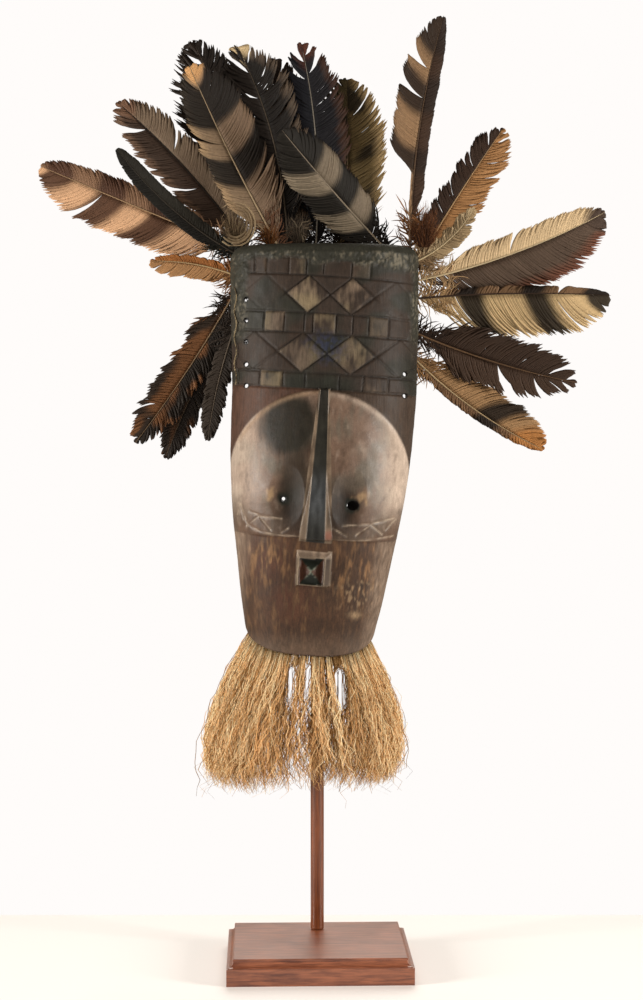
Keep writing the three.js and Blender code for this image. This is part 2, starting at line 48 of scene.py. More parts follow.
def linear(hexText):
    channels = [int(hexText[i:i + 2], 16) / 255 for i in (1, 3, 5)]
    return Vector([c / 12.92 if c <= 0.04045 else ((c + 0.055) / 1.055) ** 2.4 for c in channels])


def fourth(colour, last=1):
    return (*colour, last)


def addNode(tree, kind, settings=None, links=None):
    # a link comes from a socket, or from a node's first output
    node = tree.nodes.new("ShaderNode" + kind)
    for name, value in (settings or {}).items():
        if isinstance(name, int) or name in node.inputs:
            node.inputs[name].default_value = value
        else:
            setattr(node, name, value)
    for socket, source in (links or {}).items():
        output = source if isinstance(source, bpy.types.NodeSocket) else source.outputs[0]
        tree.links.new(output, node.inputs[socket])
    return node


def newMaterial(name):
    material = bpy.data.materials.new(name)
    material.use_nodes = True
    material.node_tree.nodes.clear()
    return material, material.node_tree


def addObject(name, data):
    thing = bpy.data.objects.new(name, data)
    bpy.context.scene.collection.objects.link(thing)
    return thing


def meshObject(bm, name, material):
    mesh = bpy.data.meshes.new(name)
    bm.to_mesh(mesh)
    bm.free()
    mesh.materials.append(material)
    return addObject(name, mesh)


def mix(low, high, share):
    return low + (high - low) * share


def smooth(low, high, value):
    t = min(1.0, max(0.0, (value - low) / (high - low)))
    return t * t * (3 - 2 * t)


def bell(distance, width):
    return math.exp(-(distance / width) ** 2)


def wander(x, y, z, size):
    return noise.noise(Vector((x / size, y / size, z / size)))  # about -1 to 1, features about size mm across


def keepPiece(bm, name, material, nodes, isSmooth=True):
    for face in bm.faces:
        face.smooth = isSmooth and len(face.verts) < 5
    piece = meshObject(bm, name, material)
    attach(piece, "root")
    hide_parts(*nodes)
    return piece


def makeTubes(count, stations, sides, place):
    # many closed tubes from one grid: place(tube, share along, corner) gives a point in metres and its tone
    bm = bmesh.new()
    columns = count * (sides + 1) - 1
    bmesh.ops.create_grid(bm, x_segments=columns, y_segments=stations, size=0.5)
    tone = bm.verts.layers.float_color.new("tone")
    gaps = []
    for face in bm.faces:
        column = round((face.calc_center_median().x + 0.5) * columns - 0.5)
        if column % (sides + 1) == sides:
            gaps.append(face)
    bmesh.ops.delete(bm, geom=gaps, context="FACES")
    for vert in bm.verts:
        tube, corner = divmod(round((vert.co.x + 0.5) * columns), sides + 1)
        vert.co, vert[tone] = place(tube, min(1.0, max(0.0, vert.co.y + 0.5)), corner % sides)
    bmesh.ops.remove_doubles(bm, verts=bm.verts, dist=1e-7)
    bmesh.ops.holes_fill(bm, edges=bm.edges, sides=sides)
    bmesh.ops.recalc_face_normals(bm, faces=bm.faces)
    return bm


def joinInto(bm, other):
    spare = bpy.data.meshes.new("spare")
    other.to_mesh(spare)
    other.free()
    bm.from_mesh(spare)
    bpy.data.meshes.remove(spare)


def painted(point, tone, shade=1.0):
    # a point given in the mask's own mm, as a place in the part and a tone
    return (point + maskAt) * mm, fourth(tone * shade)


def smoothLine(pairs):
    # the same smooth line through (height, value) pairs as the solids follow
    points = [Vector(pair) for pair in pairs]
    last = len(points) - 1
    steps = 40
    line = []
    for i in range(last):
        before, start, end, after = (points[min(max(j, 0), last)] for j in range(i - 1, i + 3))
        leave = (end - before) / 2
        arrive = (after - start) / 2
        for j in range(steps):
            t = j / steps
            point = (2 * start - 2 * end + leave + arrive) * t ** 3
            point += (3 * end - 3 * start - 2 * leave - arrive) * t ** 2 + leave * t + start
            line.append(point)
    line.append(points[-1])
    heights = [point.x for point in line]

    def at(z):
        i = min(max(bisect.bisect(heights, z) - 1, 0), len(heights) - 2)
        share = (z - heights[i]) / (heights[i + 1] - heights[i])
        return mix(line[i].y, line[i + 1].y, min(1, max(0, share)))

    return at


def alongStops(stops, at):
    # a value or colour between the two nearest (place, value) stops
    if at <= stops[0][0]:
        return stops[0][1]
    for (low, first), (high, second) in zip(stops, stops[1:]):
        if at <= high:
            return mix(first, second, (at - low) / (high - low))
    return stops[-1][1]


# Materials


def smokedHardwood():
    # carved hardwood, smoked and handled for years: upright pores, strongest on the raw wood and nearly rubbed
    # away on the face, whose low sheen breaks up into handling marks
    material, tree = newMaterial("smoked hardwood, hand carved")
    place = addNode(tree, "TexCoord").outputs["Object"]
    tone = addNode(tree, "Attribute", {"attribute_name": "tone"})
    raw = tone.outputs["Alpha"]
    upright = addNode(tree, "Mapping", {"Scale": (1, 1, 0.09)}, {"Vector": place})
    layers = [
        (upright, 620.0, 5.0, 0.62, -0.36, 0.3),  # pores about 1.6 mm apart and 18 mm long
        (place, 85.0, 4.0, 0.6, 0.82, 1.16),  # handling marks about 12 mm across
        (place, 700.0, 3.0, 0.7, 0.88, 1.12),  # dust and pits about 1.4 mm across
    ]
    noises = []
    shades = []
    for where, scale, detail, rough, low, high in layers:
        noises.append(addNode(tree, "TexNoise", {"Scale": scale, "Detail": detail, "Roughness": rough},
                              {"Vector": where}))
        span = {"From Min": 0.3, "From Max": 0.7, "To Min": low, "To Max": high}
        shades.append(addNode(tree, "MapRange", span, {"Value": noises[-1]}))
    grain, blotch, speck = noises
    shade = addNode(tree, "Math", {"operation": "MULTIPLY_ADD", 2: 1.0}, {0: shades[0], 1: raw})
    for other in shades[1:]:
        shade = addNode(tree, "Math", {"operation": "MULTIPLY"}, {0: shade, 1: other})
    colour = addNode(tree, "VectorMath", {"operation": "SCALE"}, {0: tone, "Scale": shade})
    dry = addNode(tree, "Math", {"operation": "MULTIPLY_ADD", 1: 0.3, 2: 0.18}, {0: raw})
    rough = addNode(tree, "Math", {"operation": "MULTIPLY_ADD", 1: 0.34}, {0: blotch, 2: dry})
    height = addNode(tree, "Math", {"operation": "MULTIPLY"}, {0: grain, 1: raw})
    uneven = addNode(tree, "Math", {"operation": "MULTIPLY_ADD", 1: 0.35}, {0: speck, 2: height})
    bump = addNode(tree, "Bump", {"Strength": 0.5, "Distance": 0.0006}, {"Height": uneven})
    shader = addNode(tree, "BsdfPrincipled", {"IOR": 1.5, "Specular IOR Level": 0.27},
                     {"Base Color": colour, "Roughness": rough, "Normal": bump})
    addNode(tree, "OutputMaterial", None, {"Surface": shader})
    return material


def stainedWood(name, dark, light, grainAlong, coat):
    # joinery wood under a red-brown stain and thin varnish: straight grain and a soft reflection
    material, tree = newMaterial(name)
    place = addNode(tree, "TexCoord").outputs["Object"]
    along = addNode(tree, "Mapping", {"Scale": grainAlong}, {"Vector": place})
    grain = addNode(tree, "TexNoise", {"Scale": 420.0, "Detail": 6.0, "Roughness": 0.6, "Distortion": 0.4},
                    {"Vector": along})  # grain lines about 2.4 mm apart
    cloud = addNode(tree, "TexNoise", {"Scale": 26.0, "Detail": 3.0}, {"Vector": place})  # about 38 mm across
    blend = addNode(tree, "Math", {"operation": "MULTIPLY_ADD", 1: 0.35}, {0: cloud, 2: grain})
    fade = addNode(tree, "MapRange", {"From Min": 0.5, "From Max": 0.85}, {"Value": blend})
    colour = addNode(tree, "Mix", {"data_type": "RGBA", 6: fourth(linear(dark)), 7: fourth(linear(light))},
                     {0: fade})
    bump = addNode(tree, "Bump", {"Strength": 0.2, "Distance": 0.0004}, {"Height": grain})
    rough = addNode(tree, "MapRange", {"From Min": 0.3, "From Max": 0.7, "To Min": 0.3, "To Max": 0.46},
                    {"Value": cloud})
    shader = addNode(tree, "BsdfPrincipled", {"IOR": 1.5, "Coat Weight": coat, "Coat Roughness": 0.28},
                     {"Base Color": colour.outputs[2], "Roughness": rough, "Normal": bump})
    addNode(tree, "OutputMaterial", None, {"Surface": shader})
    return material


def thinFibre(name, roughness, through, scale, low, high):
    # fibre so thin that some light comes through it, with each piece's own painted tone
    material, tree = newMaterial(name)
    place = addNode(tree, "TexCoord").outputs["Object"]
    tone = addNode(tree, "Attribute", {"attribute_name": "tone"})
    speck = addNode(tree, "TexNoise", {"Scale": scale, "Detail": 3.0}, {"Vector": place})
    shade = addNode(tree, "MapRange", {"From Min": 0.3, "From Max": 0.7, "To Min": low, "To Max": high},
                    {"Value": speck})
    colour = addNode(tree, "VectorMath", {"operation": "SCALE"}, {0: tone, "Scale": shade})
    shader = addNode(tree, "BsdfPrincipled", {"IOR": 1.5, "Roughness": roughness, "Specular IOR Level": 0.22},
                     {"Base Color": colour})
    glow = addNode(tree, "BsdfTranslucent", None, {"Color": colour})
    both = addNode(tree, "MixShader", {0: through}, {1: shader, 2: glow})
    addNode(tree, "OutputMaterial", None, {"Surface": both})
    return material


def plainStage(name, hexText, roughness):
    # painted board: flat and even
    material, tree = newMaterial(name)
    shader = addNode(tree, "BsdfPrincipled", {"Base Color": fourth(linear(hexText)), "Roughness": roughness})
    addNode(tree, "OutputMaterial", None, {"Surface": shader})
    return material


# The mask's outline, the same as the solid's, mm
mask = {
    "height": 405, "wall": 11, "topWall": 15, "archPower": 2.6, "topRound": 9, "topInset": 11,
    "rimLow": 0.5, "rimLowX": -2.5, "rimRise": 25.4, "rimTilt": 0.0693, "brow": 262, "bodyLean": 0.058,
    "carvingLean": math.radians(3.5),
    "halfWidths": [(0, 60.5), (45, 70), (93, 77.8), (152, 86.8), (215, 91.6), (300, 93), (405, 93)],
    "depths": [(0, 58), (60, 75), (118, 86), (180, 85), (262, 80), (340, 76), (405, 71)],
    "outerColumns": 226, "rimColumns": 4, "innerColumns": 30, "rows": 322, "roundRows": 8,
}
halfWidthAt = smoothLine(mask["halfWidths"])
depthAt = smoothLine(mask["depths"])
leanSin = math.sin(mask["carvingLean"])
leanCos = math.cos(mask["carvingLean"])


def middleAt(z):
    return -mask["bodyLean"] * max(0, mask["brow"] - z)


def archPoint(angle, z, inward=0.0):
    across = math.sin(angle)
    power = 2 / mask["archPower"]
    x = (halfWidthAt(z) - inward) * math.copysign(abs(across) ** power, across)
    y = -(depthAt(z) - inward) * max(math.cos(angle), 0) ** power
    return Vector((middleAt(z) + x, y, z))


def toCarving(x, z):
    up = z - mask["brow"]
    return x * leanCos - up * leanSin, mask["brow"] + x * leanSin + up * leanCos


def rimHeight(x, y):
    rise = mask["rimRise"] * (1 + y / mask["depths"][0][1])
    return mask["rimLow"] + rise - mask["rimTilt"] * (x - mask["rimLowX"])


def rimPlace(angle, inward=0.0):
    # where the arch at this angle meets the sloping plane of the rim
    point = archPoint(angle, 0, inward)
    for step in range(5):
        point = archPoint(angle, rimHeight(point.x, point.y), inward)
    return point


# The carved panel above the brow, as heights above the brow, mm. Blocks are (from, to, how worn), and "faint"
# is how much of the lines is left outside the two middle diamonds.
panel = {
    "halfWidth": 89, "grooveDepth": 1.9, "grooveSoft": 0.85, "sunk": 0.8,
    "lines": [0, 15.5, 54, 73.5, 110, 126],
    "blockRows": [
        {"low": 0, "high": 15.5, "blocks": [(-64, -42, 0.6), (38, 62, 0.35)], "joints": [-20, 14]},
        {"low": 54, "high": 73.5, "blocks": [(-63, -44, 0.62), (-15, 7, 0.5), (40, 59, 0.35)],
         "joints": [-24, 24]},
        {"low": 110, "high": 126, "blocks": [(-42, -25, 0.25), (20, 38, 0.2), (-76, -64, 0.1)],
         "joints": [-8]},
    ],
    "diamondRows": [{"low": 15.5, "high": 54, "pitch": 48, "worn": 0.62, "faint": 0.5},
                    {"low": 73.5, "high": 110, "pitch": 43, "worn": 0.95, "faint": 0.22}],
}
face = {"middle": 174, "halfWidth": 90, "halfHeight": 87, "cheek": 118, "back": 36, "x": 85, "y": 60, "z": 150}
eyeHollow = {"x": 33, "z": 156, "front": 101, "rx": 20, "ry": 15, "rz": 34}
nose = {
    "top": 261, "foot": 117, "topFace": 3.9, "topBase": 5.35, "footFace": 9, "footBase": 15.5,
    "topFront": 88.5, "footFront": 107, "slope": 1.8, "forward": 0.7,
}
mouth = {
    "z": 88.5, "baseHalf": 17, "front": 92, "slopeDepth": 9, "left": -14, "right": 9.6, "low": -15.8,
    "high": 10.2, "lip": 0.4, "floor": 86, "root": 84.8, "tip": 90.5,
}
band = {
    "left": [
        [(-66, 140), (-54, 136), (-34, 135)], [(-75, 146), (-67, 127), (-54, 121), (-41, 119), (-16, 119)],
        [(-67.5, 125.5), (-56, 136), (-44, 123.5)], [(-78, 135), (-75.5, 146), (-71, 131)],
        [(-34, 121.5), (-27, 126.5)],
    ],
    "right": [
        [(26, 132), (50, 134.5), (76, 141)], [(15, 118), (34, 117.5), (55, 119.5), (76, 123.5)],
        [(39, 123.5), (53, 134), (64.5, 125)], [(67, 129), (77.5, 140)], [(16.5, 129), (30.5, 121.5)],
    ],
    "depth": 1.1, "soft": 0.75,
}
# The eye holes: their radius, how much of it they have in front and behind, and their slant and shift
eyes = [
    {"u": -33.5, "v": 154, "radius": 3.0, "front": 1.35, "rear": 0.3, "slant": 0.0, "shift": 0,
     "scrapeAndSheen": "leftLidSheenAndScrape"},
    {"u": 33.5, "v": 152, "radius": 4.3, "front": 1.1, "rear": 1.0, "slant": math.radians(38), "shift": 3,
     "scrapeAndSheen": "rightLidSheenAndScrape"},
]
edgeHoles = {"radius": 1.9, "widened": 1.25, "darkReach": 3.6, "places": [
    (-77, 351), (-77, 330.5), (-77, 309.5), (-77, 287.5), (-77, 266.5), (79, 278), (79, 256.5)]}
woodTones = {name: linear(value) for name, value in {
    "panel": "#2f241c", "panelCool": "#30261f", "worn": "#74664f", "wornPink": "#6a5a4b", "groove": "#1a140f",
    "green": "#1f2019", "blue": "#23283a", "crust": "#2a2a22", "crustLight": "#645e50",
    "leftCorner": "#4a3226", "rightCorner": "#3b2e24", "face": "#705b4d", "faceCool": "#5e554a",
    "olive": "#1a170e", "rimLight": "#9d8268", "paleWoodAndSheen": "#b8a696", "noseFace": "#1f1e19",
    "noseSheen": "#424548", "bevel": "#6b5b4b", "bevelEdge": "#8a7a67", "red": "#6d3a30", "lower": "#412c1d",
    "lowerDeep": "#2e2016", "gold": "#82603f", "lowerRed": "#4e2d1e", "paleLowerAndSheen": "#8a7868",
    "scratch": "#a39380", "scrapeAndSheen": "#9c8263", "hollowShadeAndDirt": "#241a12", "mouthDark": "#121811",
    "mouthRed": "#43281c", "mouthEdge": "#7f8578", "frame": "#3a2f26", "hole": "#0d0a08",
    "inside": "#4b3929", "back": "#5b4534",
}.items()}


# Spots on the carving, mm: the middle across and up, and the half width and half height
spots = {
    "leftLid": (-46, 157, 8, 8), "rightLid": (41, 160, 8, 8), "hollow": (22, 148, 17, 26),
    "patch": (-31, 226, 28, 31), "trail": (-24, 182, 15, 40), "leftLidSheenAndScrape": (-46, 158, 5.5, 6.5),
    "rightLidSheenAndScrape": (43, 161, 8, 6.5),
    "redByNose": (12, 122, 7, 6), "blue": (2, 303, 24, 20), "goldLeft": (-42, 92, 26, 24),
    "goldRight": (42, 88, 26, 34), "redLeft": (-48, 93, 24, 24), "redMiddle": (-21, 56, 22, 22),
    "specks": (46, 66, 18, 16), "chip": (43, 44, 5.5, 3.5), "dullHollow": (20, 150, 19, 36),
    "dullPatch": (-31, 224, 34, 36),
}


def away(u, v, name):
    # how far a place is from a spot's middle, 1 at its edge
    middleU, middleV, wide, high = spots[name]
    return math.hypot((u - middleU) / wide, (v - middleV) / high)


def near(u, v, name):
    return bell(away(u, v, name), 1)


def paint(tone, *layers):
    # wood tones laid over one another, each by its share
    for name, share in layers:
        tone = mix(tone, woodTones[name], share)
    return tone


def lineDistance(u, v, points):
    nearest = 99.0
    for (ax, ay), (bx, by) in zip(points, points[1:]):
        dx, dy = bx - ax, by - ay
        share = min(1, max(0, ((u - ax) * dx + (v - ay) * dy) / (dx * dx + dy * dy)))
        nearest = min(nearest, math.hypot(u - ax - dx * share, v - ay - dy * share))
    return nearest


def diamondPlace(u, h, row):
    # distance to the nearest crossing line, and how far inside its diamond a place lies, 1 in the middle
    height = row["high"] - row["low"]
    a = u / row["pitch"] + 0.5
    b = (h - row["low"]) / height
    scale = row["pitch"] * height / math.hypot(row["pitch"], height)
    distance = min(abs(a - b - round(a - b)), abs(a + b - round(a + b))) * scale
    centre = (math.floor(u / row["pitch"]) + 0.5) * row["pitch"]
    inside = 1 - abs(u - centre) / (row["pitch"] / 2) - abs(b - 0.5) * 2
    return distance, inside


def panelRelief(u, v):
    # how far in the panel's surface lies, how much of a groove it is, and how light the wood is worn, 0 to 1
    h = v - mask["brow"]
    if h < -2 or abs(u) > panel["halfWidth"]:
        return 0.0, 0.0, 0.0
    soft = panel["grooveSoft"]
    fainter = 1 - 0.6 * smooth(45, 75, u) * smooth(50, 80, h)
    groove = max(bell(h - line, soft) for line in panel["lines"]) * fainter
    worn = 0.0
    sunk = 0.0
    for row in panel["blockRows"]:
        if row["low"] <= h < row["high"]:
            sunk = panel["sunk"]
            groove = max([groove] + [0.8 * bell(u - joint, soft) for joint in row["joints"]])
            for low, high, wornHere in row["blocks"]:
                groove = max(groove, bell(u - low, soft) * 0.9, bell(u - high, soft) * 0.9)
                if low < u < high:
                    sunk = panel["sunk"] * (1 - min(1, wornHere * 2))
                    worn = wornHere
    for row in panel["diamondRows"]:
        if row["low"] <= h < row["high"]:
            distance, inside = diamondPlace(u, h, row)
            isMiddle = abs(u) < row["pitch"]
            left = 1 - smooth(row["pitch"] - 1, row["pitch"] + 5, abs(u))
            groove = max(groove, bell(distance, soft) * mix(row["faint"], 1, left))
            if inside > 0 and isMiddle:
                worn = row["worn"] * (0.7 + 0.3 * min(1, inside * 3))
            sunk = 0.25 if inside <= 0 or not isMiddle else -0.5 * min(1, inside)
    if h > panel["lines"][-1] + 0.5:
        worn = 0.0
    return sunk + panel["grooveDepth"] * groove, groove, worn


def crustAt(u, v):
    # the thick ragged crust over the top and part of the way down both edges, 0 to 1
    ragged = 5 * wander(u, v, 3, 13) + 2.4 * wander(u, v, 4, 4)
    top = smooth(383, 389, v + ragged)
    left = smooth(-79, -84, u + 0.7 * ragged) * smooth(286, 330, v)
    right = smooth(78, 83, u + 0.7 * ragged) * smooth(290, 330, v)
    return max(top, left * (0.6 + 0.4 * smooth(330, 350, v)), right)


def faceDepth(u, v):
    swell = 1 - (u / face["x"]) ** 2 - ((v - face["middle"]) / face["z"]) ** 2
    return face["back"] + face["y"] * math.sqrt(swell) if swell > 0 else 0.0


def faceMargin(u, v):
    # how far inside the round face's edge a place lies: round above its middle, straight down the sides below
    ring = math.hypot(u / face["halfWidth"], max(0, v - face["middle"]) / face["halfHeight"])
    return min((1 - ring) * face["halfHeight"], v - face["cheek"])


def bandGroove(u, v):
    if not 110 < v < 152:
        return 0.0
    nearest = min(lineDistance(u, v, line) for line in band["left" if u < 0 else "right"])
    return bell(nearest, band["soft"])


def noseDepth(u, v):
    share = (v - nose["foot"]) / (nose["top"] - nose["foot"])
    if share > 1.01 or share < -0.02:
        return 0.0, 9.0
    share = min(1, max(0, share))
    half = mix(nose["footFace"], nose["topFace"], share)
    base = mix(nose["footBase"], nose["topBase"], share)
    front = mix(nose["footFront"], nose["topFront"], share ** nose["forward"])
    if abs(u) > base + 0.6:
        return 0.0, 9.0
    past = (abs(u) - half) / (base - half)
    drop = 6 * smooth(base - 0.6, base + 0.6, abs(u))
    return front - nose["slope"] * max(0, abs(u) - half) - drop, past


def mouthShares(u, w):
    # a place in the mouth's opening, as shares of the way from its middle to its edges
    sides = ((u, mouth["left"], mouth["right"]), (w, mouth["low"], mouth["high"]))
    return [abs(at - (low + high) / 2) / ((high - low) / 2) for at, low, high in sides]


def mouthDepth(u, v):
    # the depth of the mouth's frame and recess, and which part of it a place is
    w = v - mouth["z"]
    half = mouth["baseHalf"]
    if max(abs(u), abs(w)) > half:
        return 0.0, "none"
    t = max((u - mouth["right"]) / (half - mouth["right"]), (mouth["left"] - u) / (half + mouth["left"]),
            (mouth["low"] - w) / (half + mouth["low"]), (w - mouth["high"]) / (half - mouth["high"]), 0)
    lip = mouth["lip"]
    isOpen = mouth["left"] + lip < u < mouth["right"] - lip and mouth["low"] + lip < w < mouth["high"] - lip
    if not isOpen:
        return mouth["front"] - mouth["slopeDepth"] * min(1, t), "frame"
    across, up = mouthShares(u, w)
    depth = mix(mouth["tip"], mouth["root"], max(across, up))
    return max(mouth["floor"], depth), "side" if across > up else "upper"


def besideNose(angle, z):
    # draws the columns in beside the nose, so that they run along its edges as it narrows towards the brow
    share = min(1, max(0, (z - nose["foot"]) / (nose["top"] - nose["foot"])))
    narrow = mix(nose["footFace"], nose["topFace"], share) / nose["footFace"]
    active = smooth(96, nose["foot"] - 3, z) * (1 - smooth(nose["top"] + 1, nose["top"] + 16, z))
    x = halfWidthAt(z) * abs(math.sin(angle)) ** (2 / mask["archPower"])
    factor = mix(1, narrow, active * (1 - smooth(17, 52, x)))
    across = (x * factor / halfWidthAt(z)) ** (mask["archPower"] / 2)
    return math.copysign(math.asin(min(1, across)), angle)


def softLower(first, second, blend):
    # the lower of two heights, rounded over where they meet
    share = min(1, max(0, 0.5 + (second - first) / (2 * blend)))
    return mix(second, first, share) - blend * share * (1 - share)


def carveAt(angle, z):
    # a point of the carved front and its tone
    angle = besideNose(angle, z)
    base = archPoint(angle, z)
    u, v = toCarving(base.x, z)
    inward, groove, worn = panelRelief(u, v)
    crust = crustAt(u, v)
    hand = 0.28 * wander(base.x, base.y, z * 0.6, 9) + 0.12 * wander(base.x, base.y, z, 3)
    lumps = 0.8 + 1.1 * wander(base.x, base.y, z, 7) + 0.9 * wander(base.x, base.y, z, 2.1)
    inward = inward * (1 - crust) - crust * lumps + hand
    point = archPoint(angle, z, inward)
    depth = -point.y
    margin = faceMargin(u, v)
    front = faceDepth(u, v)
    cut = 0.0
    if margin > -2 and front > depth - 3:
        cut = bandGroove(u, v)
        front += -band["depth"] * cut + hand
        front += 3 * near(u, v, "leftLid") + 3.4 * near(u, v, "rightLid")
        hollow = 1 - ((abs(u) - eyeHollow["x"]) / eyeHollow["rx"]) ** 2
        hollow -= ((v - eyeHollow["z"]) / eyeHollow["rz"]) ** 2
        if hollow > 0:
            front = softLower(front, eyeHollow["front"] - eyeHollow["ry"] * math.sqrt(hollow) + 0.5 * hand, 6)
        depth = max(depth, mix(depth, front, smooth(-1.5, 1.3, margin)))
    ridge, past = noseDepth(u, v)
    if ridge > depth:
        depth = mix(depth, ridge + hand, smooth(nose["foot"] - 0.8, nose["foot"] + 0.8, v))
    rim, part = mouthDepth(u, v)
    if part != "none":
        depth = rim + 0.6 * hand if part != "frame" else max(depth, rim + hand)
    point.y = -depth
    return point, woodTone(u, v, base, margin, groove, worn, crust, cut, past, part)


def faceTone(u, v, margin, cut, past, fine, broad):
    # a rubbed grey brown, darker and greener beside the nose and in the hollows, paler towards the sides: the
    # dark is partly dirt and partly painted shade, the pale partly the wood and partly painted sheen, with a
    # painted rim highlight
    isLeft = u < 0
    sunkShadeAndDirt = near(abs(u), v, "hollow")
    patch = smooth(1.3, 0.7, away(u, v, "patch") + 0.12 * broad + 0.05 * fine)
    trail = smooth(1.3, 0.5, away(u, v, "trail") + 0.25 * broad)
    mottled = wander(u, v * 0.45, 51, 6) + 0.6 * wander(u, v * 0.6, 57, 2.8)
    noseShadeAndDirt = smooth(46, 16, abs(u)) * smooth(250, 190, v)
    tone = paint(woodTones["face"],
                 ("faceCool", smooth(-0.3, 0.4, broad + 0.4 * fine)),
                 # paler towards the sides: partly the wood, partly a painted sheen from the side light
                 ("paleWoodAndSheen", smooth(50, 80, abs(u)) * smooth(122, 160, v) * (0.6 if isLeft else 0.9)),
                 # painted shade: darker down towards the cheek line, where the face turns downward
                 ("lower", smooth(165, 128, v) * 0.55),
                 # darker beside the nose: partly dirt, partly a painted shadow cast by the nose
                 ("lower", noseShadeAndDirt * (0.75 if isLeft else 0.35)),
                 # the eye hollows darker: partly dirt, partly painted shade in the recess
                 ("hollowShadeAndDirt", min(1, sunkShadeAndDirt * 1.25)),
                 ("olive", max(patch * 0.97, trail * 0.72)),
                 ("rimLight", bell(margin - 2, 2.6) * smooth(30, -20, u) * smooth(200, 218, v) * 0.5),
                 # a painted highlight along the face's upper right rim
                 ("paleWoodAndSheen", bell(margin - 2.5, 3) * smooth(-10, 20, u) * smooth(190, 215, v) * 0.5),
                 ("lowerDeep", smooth(0.15, 0.9, mottled) * 0.38),
                 ("paleWoodAndSheen", smooth(0.2, 1.0, -mottled) * 0.2 * (1 - max(patch, trail, sunkShadeAndDirt))))
    for eye in eyes:
        # a pale spot on each eye's outer lid: partly scraped wood, partly a painted highlight where the lid
        # faces the light
        scrapeAndSheen = away(u, v, eye["scrapeAndSheen"]) + 0.8 * wander(u, v * 0.5, 61, 3)
        fromHole = math.hypot(u - eye["u"], v - eye["v"]) + 2 * fine - eye["radius"]
        tone = paint(tone, ("scrapeAndSheen", smooth(1.15, 0.2, scrapeAndSheen) * 0.8),
                     ("mouthDark", smooth(5.5, 1, fromHole) * 0.92))
    uneven = smooth(-0.5, 0.3, wander(u, v, 71, 6))
    side = smooth(1.12, 0.98, past)
    edges = max(bell(past - 0.08, 0.13), bell(past - 0.98, 0.14) * (0.8 if isLeft else 0.4))
    tone = paint(tone, ("scratch", cut * mix(0.15, 0.75, uneven)))
    tone = mix(tone, woodTones["bevel"] * (0.75 + 0.5 * fine), side * 0.9)
    tone = paint(tone, ("bevelEdge", edges * smooth(-0.6, 0.2, wander(u, v, 77, 9)) * 0.55),
                 ("red", smooth(1.2, 0.3, away(u, v, "redByNose")) * side * 0.6))
    sheen = bell((v - 157) / 22, 1) * 0.75 + 0.1 * smooth(150, 120, v)
    ridge = paint(woodTones["noseFace"], ("noseSheen", sheen))
    return mix(tone, ridge * (1 + 0.5 * fine), smooth(0.1, -0.12, past))


def panelTone(u, v, groove, worn, fine, broad):
    # a dark cool brown, greener where it is least handled, with the worn blocks and one blue smudge
    h = v - mask["brow"]
    cooler = smooth(-0.05, 0.45, broad + 0.5 * smooth(20, 80, u) * smooth(50, 30, h))
    low = smooth(22, 6, h) * smooth(-44, -36, u) * smooth(40, 20, u)
    kept = smooth(-0.75, 0.45, broad + 0.7 * fine + 0.5 * wander(u, v * 0.4, 87, 2.6))
    blue = smooth(1.15, 0.35, away(u, v, "blue") + 0.3 * broad)
    wornTone = paint(woodTones["worn"], ("wornPink", smooth(-0.3, 0.3, wander(u, v, 85, 25))))
    blueTone = paint(woodTones["green"], ("blue", smooth(-0.35, 0.3, wander(u, v, 91, 3.2))))
    tone = paint(woodTones["panel"], ("panelCool", smooth(-0.3, 0.3, wander(u, v, 83, 30))),
                 ("green", cooler * 0.85), ("green", low * 0.9))
    tone = mix(mix(tone, wornTone, worn * kept), blueTone, blue * 0.85)
    return paint(tone, ("groove", groove * mix(0.35, 1, smooth(-0.5, 0.2, wander(u, v, 95, 16)))))


def lowerTone(u, v, z, fine, broad):
    # a warm brown with golden and red streaks, paler towards the rim, and paler towards the sides, partly the
    # wood and partly a painted sheen
    streak = wander(u, v * 0.14, 101, 3.4) + 0.7 * wander(u, v * 0.25, 105, 1.9)
    golden = max(near(u, v, "goldLeft"), near(u, v, "goldRight"), 0.25 * smooth(0, 30, v))
    redness = max(near(u, v, "redLeft"), near(u, v, "redMiddle"))
    speckled = smooth(0.1, 0.55, wander(u + 0.8 * fine, v * 0.4, 31, 2.1))
    edge = smooth(54, 72, abs(u + 0.06 * (150 - v)))
    return paint(woodTones["lower"],
                 ("lowerDeep", smooth(-0.2, 0.5, broad) * 0.7),
                 ("gold", smooth(-0.1, 0.8, streak) * golden * 0.95),
                 ("lowerRed", redness * smooth(0.5, -0.3, streak) * 0.7),
                 ("scrapeAndSheen", near(u, v, "specks") * speckled * 0.7),
                 ("scrapeAndSheen", bell(away(u, v, "chip") + 0.5 * fine, 0.9) * 0.75),
                 ("lowerDeep", smooth(0.25, 0.8, -streak) * 0.35),
                 ("paleLowerAndSheen", smooth(30, 4, z) * 0.22),
                 # paler sides: partly the wood, partly a painted sheen from the side light
                 ("paleLowerAndSheen", edge * (0.55 + 0.3 * fine)))


def mouthTone(u, v, part, fine):
    w = v - mouth["z"]
    across, up = mouthShares(u, w)
    out = max(across, up)
    if part != "frame":
        patchy = smooth(-0.5, 0.3, wander(u, v, 33, 2.2))
        return paint(woodTones["mouthRed" if part == "side" else "mouthDark"] * (1 + 0.4 * fine),
                     ("mouthEdge", bell(across - up, 0.1) * smooth(0.62, 0.3, out) * patchy * 0.7))
    outer = max(abs(u), abs(w)) / mouth["baseHalf"]
    tone = paint(woodTones["frame"], ("paleLowerAndSheen", smooth(mouth["high"] - 1, mouth["high"] + 2, w) * 0.85),
                 ("bevelEdge", bell(out - 1.08, 0.07) * 0.7), ("bevelEdge", bell(outer - 0.97, 0.06) * 0.45))
    return tone * (1 + 0.4 * fine)


